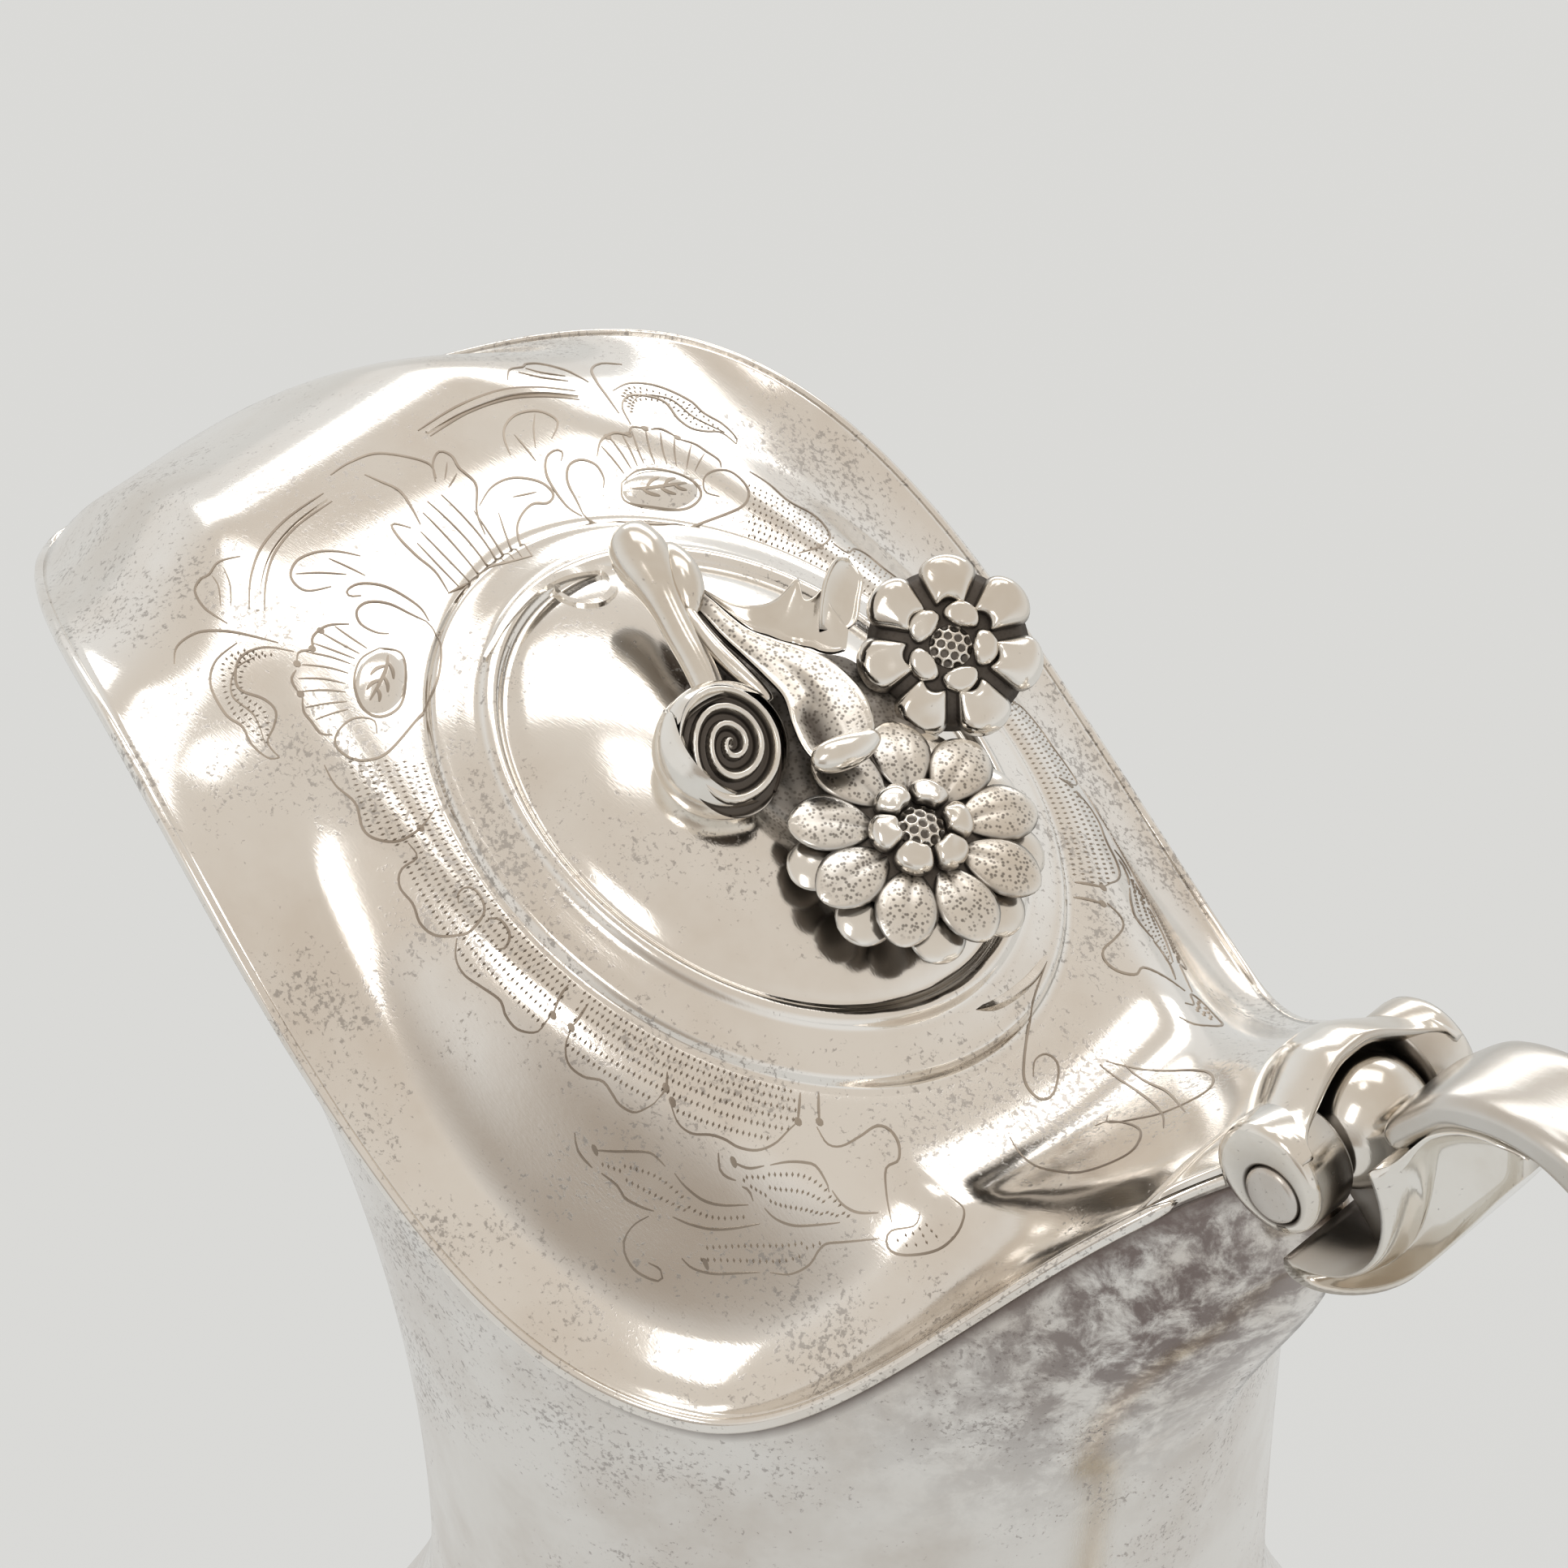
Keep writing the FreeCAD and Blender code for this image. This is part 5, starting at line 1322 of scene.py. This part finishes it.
# lip, pit and crease of a leaf: place and spread across it, then where each starts and ends along it
leafMarks = {
    "lip": (0.93, 0.09), "pit": (-0.42, 0.3), "pitRun": ((0.66, 0.76), (0.97, 0.92)), "pitDepth": 0.9,
    "crease": (-0.1, 0.13), "creaseRun": ((0.42, 0.62), (0.8, 0.7)), "creaseDepth": 0.3,
}


def makeLeaf(name, f):
    edgeA, edgeB = outlineTable(flowing(f["one"], 0.25)), outlineTable(flowing(f["two"], 0.25))

    def mark(kind, t, w):
        start, end = leafMarks[kind + "Run"]
        return bell(t, *leafMarks[kind]) * softStep(w, *start) * softStep(w, *end) * f["hollow"]

    def place(u, w):
        top, t = bothFaces(u)
        p, q = Vector(alongTable(edgeA, w)), Vector(alongTable(edgeB, w))
        spot = (p + q) / 2 + (p - q) / 2 * t
        fade = max(0.0, 1 - t * t)
        ends = softStep(w, 0.0, 0.08) * softStep(w, 1.0, 0.95)
        # painted shade under the leaf, and on top at its root, pit and crease
        if not top:
            return (spot.x, spot.y, spot.z - f["thick"] * fade ** 0.5 - 0.1, shades["leafUnder"], 0.0)
        lip = bell(abs(t), *leafMarks["lip"])
        level = spot.z + (f["crown"] * fade + f["roll"] * 0.5 * lip) * ends
        pit, crease = mark("pit", t, w), mark("crease", t, w)
        root = softStep(w, 0.12, 0.0)
        dark = max(shades["leafRoot"] * root, shades["leafPit"] * pit, shades["leafCrease"] * crease)
        level -= leafMarks["pitDepth"] * pit + leafMarks["creaseDepth"] * crease
        return (spot.x, spot.y, level, dark, f["matte"] * softStep(abs(t), 0.84, 0.72))

    pieces = [moved(gridPiece(name, 40, 70, place), domeFrame)]
    if f["matte"]:  # rolled and polished tip
        pieces.append(castTube("leafTip", f["tip"], 0.25, 28, tipFinish, 1.1))
    return joined(name, pieces)


for name, f in leafForms.items():
    setDown(makeLeaf(name, f), "lid", "cast_silver", silvers["cast"], f["node"])
print("finial made")


# Hinge: hooded plate on the lid, pin, and the ball and bracket that carry it
hingeForm = {
    "x": 46.7, "z": 194.1, "bore": 2.36, "cheekIn": 4.8, "cheekOut": 9.2,
    # outline of the knuckle's end: angle from +X, then reach from the axis
    "drop": [(-180, 5.2), (-156, 4.3), (-120, 3.6), (-90, 3.4), (-45, 3.4), (0, 3.7), (30, 4.2), (60, 4.7),
             (90, 5.3), (120, 5.5), (150, 5.5), (180, 5.2)],
    "hoodSide": 5.2, "hoodTop": 7.6, "sheet": 1.15, "front": 206.0, "slotEnd": 97.0, "backEdge": 62.0,
    "slotHalf": 8.0, "crestHalf": 0.8, "crestEnd": 7.4, "slotLip": 0.08, "plateFront": 36.6,
    "plateBack": 41.4, "plateRise": 0.95, "plateRun": 1.6, "plateOver": 0.5, "plateUnder": 0.15,
    "pinRadius": 2.28, "pinEnd": 9.55, "ball": (0.8, 1.2), "ballRadius": 4.9, "channel": 7.85,
    "channelFrom": -92.0, "channelTo": 36.0, "channelSpread": 14.0,
    # neck from the ball to the bracket: distance from the axis, then radius
    "shank": [(2.0, 0.0), (2.0, 2.6), (5.0, 2.4), (7.0, 2.4), (8.3, 2.4), (8.3, 0.0)],
    "shankBearing": -52, "shankAcross": (0.616, 0, 0.788),
    "bracketHalf": 7.0, "bracketNarrow": 2.5, "tipNarrow": 0.7, "bracketDish": 0.42, "bracketRows": 44,
    # edges of the bracket from the channel to its tip, x and z
    "above": [(53.0, 198.8), (54.8, 201.4), (57.6, 204.0), (61.0, 205.0), (63.9, 204.6)],
    "below": [(46.6, 185.3), (51.0, 185.4), (54.8, 187.6), (57.4, 191.3), (59.9, 195.8), (62.2, 200.2),
              (64.1, 203.4)],
    "strap": [(52.9, 199.9, 50, 1.1, 4.6), (53.3, 200.5, 49, 1.45, 5.0), (54.8, 202.4, 40, 1.5, 4.8),
              (57.4, 204.9, 27, 1.55, 4.6), (61.5, 206.3, 9, 1.6, 4.5), (66.0, 206.1, -13, 1.85, 4.5),
              (70.3, 204.2, -38, 2.6, 4.6), (73.5, 201.0, -56, 3.5, 4.9), (75.5, 197.5, -66, 4.1, 5.1)],
}


def hingeSpot(angle, reach, y):
    turn = math.radians(angle)
    return (hingeForm["x"] + reach * math.cos(turn), y, hingeForm["z"] + reach * math.sin(turn))


def dropReach(angle):
    turn = (angle + 180) % 360 - 180
    return float(np.interp(turn, [p[0] for p in hingeForm["drop"]], [p[1] for p in hingeForm["drop"]]))


def makeCheek(side):
    f = hingeForm
    near, far, bore = f["cheekIn"], f["cheekOut"], f["bore"]
    # last value of each row is painted shade, darkest in the bore and on the inner face
    rows = [(0, bore, far - 0.25, 1.0), (0, bore + 0.12, far - 0.05, 0.9), (0, bore + 0.3, far, 0.25),
            (1, -0.75, far, 0.0), (1, -0.3, far - 0.1, 0.0), (1, -0.08, far - 0.4, 0.0),
            (1, 0.0, far - 0.9, 0.0), (1, 0.0, near + 0.3, 0.3), (1, -0.2, near, 0.8), (0, bore, near, 1.0),
            (0, bore, far - 0.25, 1.0)]

    def place(u, w):
        outer, reach, y, dark = rowAt(rows, w)
        angle = 360 * u - 180
        if outer:
            reach += sum(dropReach(angle + step) for step in (-16, -8, 0, 8, 16)) / 5
        return (*hingeSpot(angle, reach, side * y), dark, 0.0)

    return gridPiece("cheek", 72, len(rows) - 1, place)


def makeHood():
    f = hingeForm
    half = f["cheekOut"] - 0.3
    lipFrom, lipTo = (1 - f["slotLip"]) / 2, (1 + f["slotLip"]) / 2

    def place(u, w):
        y = half * (2 * w - 1)
        out = abs(y)
        crest = 1 - softStep(out, f["crestHalf"], f["crestEnd"])
        top = f["hoodSide"] + (f["hoodTop"] - f["hoodSide"]) * crest - 0.5 * softStep(out, 7.6, 8.9)
        arch = 1 - math.sqrt(max(0.0, 1 - min(1.0, out / f["slotHalf"]) ** 2))
        back = f["slotEnd"] + (f["backEdge"] - f["slotEnd"]) * arch
        spread = f["front"] - back
        if u < lipFrom:  # outer face from the lid over to the slot
            return (*hingeSpot(f["front"] - spread * u / lipFrom, top, y), 0.0, 0.0)
        # painted shade on the slot's edge and the hood's underside
        if u < lipTo:  # rounded edge of the slot
            turn = math.pi * (u - lipFrom) / f["slotLip"]
            lip = f["sheet"] / 2
            return (*hingeSpot(back - 3.0 * math.sin(turn), top - lip + lip * math.cos(turn), y), 0.2, 0.0)
        return (*hingeSpot(back + spread * (u - lipTo) / lipFrom, top - f["sheet"], y), 0.95, 0.0)

    return gridPiece("hoodSheet", 90, 60, place)


def makePlate():
    f = hingeForm

    def place(u, w):
        end = softStep(min(w, 1 - w), 0.0, 0.025)
        part = min(1.0, 2 * u if u <= 0.5 else 2 - 2 * u)
        x = f["plateFront"] + (f["plateBack"] - f["plateFront"]) * part
        y = (halfWidth(x) + f["plateOver"]) * (2 * w - 1)
        # painted shade under the plate and along its front edge
        if u > 0.5:
            return (x, y, saddleTop(x, y) - f["plateUnder"], 0.6, 0.0)
        behind = x - f["plateFront"]
        rise = f["plateRise"] * (0.3 + 0.7 * end) * softStep(behind, 0.0, f["plateRun"])
        rise *= 0.75 + 0.25 * softStep(f["plateBack"] - x, 0.0, 0.5)
        return (x, y, saddleTop(x, y) + rise, 0.35 * (1 - softStep(behind, 0.0, 1.0)), 0.0)

    return gridPiece("hingePlate", 40, 80, place)


def makePin():
    f = hingeForm
    r, end = f["pinRadius"], f["pinEnd"]
    rows = [(0.0, -end), (0.8 * r, -end + 0.02), (0.93 * r, -end + 0.12), (r, -end + 0.4), (r, -3.0),
            (r, 3.0), (r, end - 0.4), (0.93 * r, end - 0.12), (0.8 * r, end - 0.02), (0.0, end)]

    def place(u, w):
        reach, y = rowAt(rows, w)
        return hingeSpot(360 * u, reach, y)

    return gridPiece("hingePin", 48, len(rows) - 1, place)


def makeBall():
    f = hingeForm
    x, z = f["x"] + f["ball"][0], f["z"] + f["ball"][1]

    def place(u, w):
        turn, rise = 2 * math.pi * u, math.pi * w
        r = f["ballRadius"]
        out = math.sin(rise)
        # painted shade at both ends of the ball, inside the cheeks
        return (x + r * out * math.cos(turn), -r * math.cos(rise), z + r * out * math.sin(turn),
                0.8 * softStep(abs(math.cos(rise)), 0.86, 0.98), 0.0)

    return gridPiece("hingeBall", 56, 36, place)


def makeBracket():
    f = hingeForm
    above, below = outlineTable(flowing(f["above"], 0.2)), outlineTable(flowing(f["below"], 0.2))
    rows = f["bracketRows"]

    def place(u, w):
        k = round(w * (rows + 2))
        cap = k in (0, rows + 2)
        w = min(max(0, k - 1), rows) / rows
        loop = 4 * u  # near face, upper edge, far face, lower edge
        t = 2 * loop - 1 if loop <= 1 else 1.0 if loop <= 2 else 5 - 2 * loop if loop <= 3 else -1.0
        p, q = alongTable(above, w), alongTable(below, w)
        straight = [(a + b) / 2 + (a - b) / 2 * t for a, b in zip(p, q)]
        reach = f["channel"] + f["channelSpread"] * w
        arc = hingeSpot(f["channelFrom"] + (f["channelTo"] - f["channelFrom"]) * (t + 1) / 2, reach, 0)
        bend = softStep(w, 0.0, 0.45)
        x, z = arc[0] + (straight[0] - arc[0]) * bend, arc[2] + (straight[1] - arc[2]) * bend
        half = f["bracketHalf"] - f["bracketNarrow"] * softStep(w, 0.0, 0.8)
        half -= f["tipNarrow"] * softStep(w, 0.8, 1.0)
        dish = f["bracketDish"] * (1 - t ** 4) * softStep(w, 0.0, 0.16) * softStep(w, 1.0, 0.8)
        if loop <= 1:
            y = -half * (1 - dish)
        elif loop <= 2:
            y = half * (2 * (loop - 1) - 1)
        elif loop <= 3:
            y = half * (1 - dish)
        else:
            y = half * (1 - 2 * (loop - 3))
        dark = 0.0
        # painted shade on the end caps and on the first row by the channel
        if cap:
            y, dark = 0.0, 1.0
        elif k == 1:
            dark = 0.35
        return (x, y, z, dark, 0.0)

    return gridPiece("bracket", 88, rows + 2, place)


def makeShank():  # short neck from the ball down to the bracket, all in painted shade
    f = hingeForm

    def place(u, w):
        turn = 2 * math.pi * u
        out, reach = rowAt(f["shank"], w)
        spot = Vector(hingeSpot(f["shankBearing"], out, 0))
        spot += Vector(f["shankAcross"]) * reach * math.cos(turn)
        return (spot.x, reach * math.sin(turn), spot.z, 0.8, 0.0)

    return gridPiece("shank", 24, len(f["shank"]) - 1, place)


def sweepTube(name, stations, squareness, sides, shade=0.0):
    # Closed rounded section carried along (x, z, lean, half depth, half width) in the handle's plane.
    run = flowing(stations, 0.5)
    rows = len(run) + 1

    def place(u, w):
        k = round(w * rows)
        x, z, lean, deep, wide = run[min(max(k - 1, 0), len(run) - 1)]
        tilt = math.radians(lean)
        if k in (0, rows):
            return (x, 0, z)
        square = squareness * (1 - softStep(k / rows, 0.55, 0.95))
        turn = 2 * math.pi * u
        c, s = math.cos(turn), math.sin(turn)
        side = math.copysign(abs(c) ** (1 - 0.5 * square), c) * wide
        up = math.copysign(abs(s) ** (1 - 0.3 * square), s) * deep
        return (x - up * math.sin(tilt), side, z + up * math.cos(tilt), shade, 0.0)

    return gridPiece(name, sides, rows, place)


hood = joined("hingeHood", [makeHood(), makePlate(), makeCheek(-1), makeCheek(1)])
setDown(hood, "lid", "silver", silvers["cast"], "lid_hinge_hood")
setDown(makePin(), "pot", "silver_fittings", silvers["fitting"], "hinge_pin")
# the strap is darkened all over with painted shade
upperPieces = [makeBracket(), sweepTube("strap", hingeForm["strap"], 0.9, 48, 0.26), makeBall(), makeShank()]
setDown(joined("upperSocket", upperPieces), "pot", "silver", silvers["cast"], "handle_upper_socket")
print("hinge made")


# Pieces that keep their CAD shape, smoothly shaded
plainCopies = {
    "foot_ring": ("footRing", "pot", "silver", "neck"),
    "handle_grip": ("handleGrip", "pot", "silver", "cast"),
    "handle_lower_socket": ("lowerSocket", "pot", "silver", "cast"),
}
for node, (name, body, slotName, finish) in plainCopies.items():
    setDown(smoothCopy(node, name), body, slotName, silvers[finish], node)
print("plain pieces copied")


# CAD nodes that stay as they are
keptNodes = {
    "lid_bezel": "sheet", "handle_pins": "fitting", "finial_stud": "fitting", "finial_washer": "fitting",
    "finial_nut": "fitting", "upper_insulator": "bone", "lower_insulator": "bone",
}
for node, finish in keptNodes.items():
    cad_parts[node].data.materials.clear()
    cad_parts[node].data.materials.append(silvers[finish])
print("kept nodes dressed")

# Floor, world, lamps and camera
studio = {
    # the paper's own light, its lit colour and how much of it the camera sees as its own light
    "paper": (0.716, 0.716, 0.700, 1), "paperLit": (0.60, 0.60, 0.59, 1), "paperGlow": 0.9, "floorSize": 6,
    # the room as the silver sees it: pale walls, warm ceiling, a dim upright strip behind the camera
    "wall": (0.80, 0.79, 0.77, 1), "ceiling": (0.70, 0.645, 0.58, 1), "shade": (0.42, 0.37, 0.32, 1),
    "ceilingEdges": (0.15, 0.70), "shadeWay": (0.31, -0.95, 0.0), "shadeEdges": (0.92, 0.998),
    "shadeFade": (0.05, 0.72),
    "azimuth": 42.0, "elevation": 41.0, "distance": 545.0, "lens": 169.25,
    "aim": (-10.0, 0.0, 190.0), "aimRight": 2.34, "aimUp": 2.1,
    # place, size and power of each soft lamp, all turned to the lid
    "lamps": {
        "window": ((-267, 306, 883), (690, 320), 1.0),
        "band": ((-546, 639, 527), (1000, 260), 1.4),
        "side": ((73, -470, 702), (170, 330), 0.45),
        "top": ((-94, 70, 876), (110, 130), 0.07),
    },
}


def makeFloor():
    clearSelection()
    bpy.ops.mesh.primitive_plane_add(size=studio["floorSize"])
    floor = bpy.context.object
    floor.name = "floor"
    paper, tree, shader = newMaterial("floorPaper")
    shader.inputs["Roughness"].default_value = 0.9
    shader.inputs["Base Color"].default_value = studio["paperLit"]
    glow = tree.nodes.new("ShaderNodeEmission")
    glow.inputs["Color"].default_value = studio["paper"]
    rays = tree.nodes.new("ShaderNodeLightPath")
    mix = tree.nodes.new("ShaderNodeMixShader")
    sight = calc(tree, "MAXIMUM", rays.outputs["Is Camera Ray"], rays.outputs["Is Glossy Ray"])
    link(tree, calc(tree, "MULTIPLY", sight, studio["paperGlow"]), mix.inputs["Fac"])
    link(tree, shader.outputs["BSDF"], mix.inputs[1])
    link(tree, glow.outputs["Emission"], mix.inputs[2])
    link(tree, mix.outputs["Shader"], tree.nodes["Material Output"].inputs["Surface"])
    floor.data.materials.append(paper)


def cameraWay():
    turn, lift = math.radians(studio["azimuth"]), math.radians(studio["elevation"])
    right = Vector((math.cos(turn), math.sin(turn), 0))
    back = Vector((math.sin(turn) * math.cos(lift), -math.cos(turn) * math.cos(lift), math.sin(lift)))
    return right, back


def vectorCalc(tree, kind, a, b=None):
    node = tree.nodes.new("ShaderNodeVectorMath")
    node.operation = kind
    link(tree, a, node.inputs[0])
    if b is not None:
        node.inputs[1].default_value = b
    return node.outputs["Value" if kind == "DOT_PRODUCT" else "Vector"]


def makeWorld():
    world = bpy.data.worlds.new("studioRoom")
    bpy.context.scene.world = world
    world.use_nodes = True
    tree = world.node_tree
    look = tree.nodes.new("ShaderNodeTexCoord").outputs["Generated"]
    parts = tree.nodes.new("ShaderNodeSeparateXYZ")
    link(tree, look, parts.inputs["Vector"])
    height = parts.outputs["Z"]
    tone = blendColour(tree, ramp(tree, height, *studio["ceilingEdges"]), studio["wall"], studio["ceiling"])
    bearing = vectorCalc(tree, "NORMALIZE", vectorCalc(tree, "MULTIPLY", look, (1, 1, 0)))
    strip = vectorCalc(tree, "DOT_PRODUCT", bearing, Vector(studio["shadeWay"]).normalized())
    fall = calc(tree, "SUBTRACT", 1.0, ramp(tree, height, *studio["shadeFade"]))
    dim = calc(tree, "MULTIPLY", ramp(tree, strip, *studio["shadeEdges"]), fall)
    link(tree, blendColour(tree, dim, tone, studio["shade"]), tree.nodes["Background"].inputs["Color"])


def makeLamps():
    goal = Vector(studio["aim"]) * mm
    for name, (place, spread, power) in studio["lamps"].items():
        clearSelection()
        bpy.ops.object.light_add(type="AREA", location=Vector(place) * mm)
        lamp = bpy.context.object
        lamp.name = name
        lamp.data.shape = "RECTANGLE"
        lamp.data.size, lamp.data.size_y = spread[0] * mm, spread[1] * mm
        lamp.data.energy = power
        lamp.rotation_euler = (goal - lamp.location).to_track_quat("-Z", "Y").to_euler()


def makeCamera():
    right, back = cameraWay()
    up = back.cross(right)
    spot = Vector(studio["aim"]) + right * studio["aimRight"] + up * studio["aimUp"]
    spot += back * studio["distance"]
    clearSelection()
    bpy.ops.object.camera_add(location=spot * mm)
    camera = bpy.context.object
    camera.rotation_euler = back.to_track_quat("Z", "Y").to_euler()
    camera.data.lens = studio["lens"]
    camera.data.sensor_width = 36
    camera.data.clip_start = 0.01
    bpy.context.scene.camera = camera


makeFloor()
makeWorld()
makeLamps()
makeCamera()
bpy.context.scene.view_settings.view_transform = "Standard"
print("studio set")
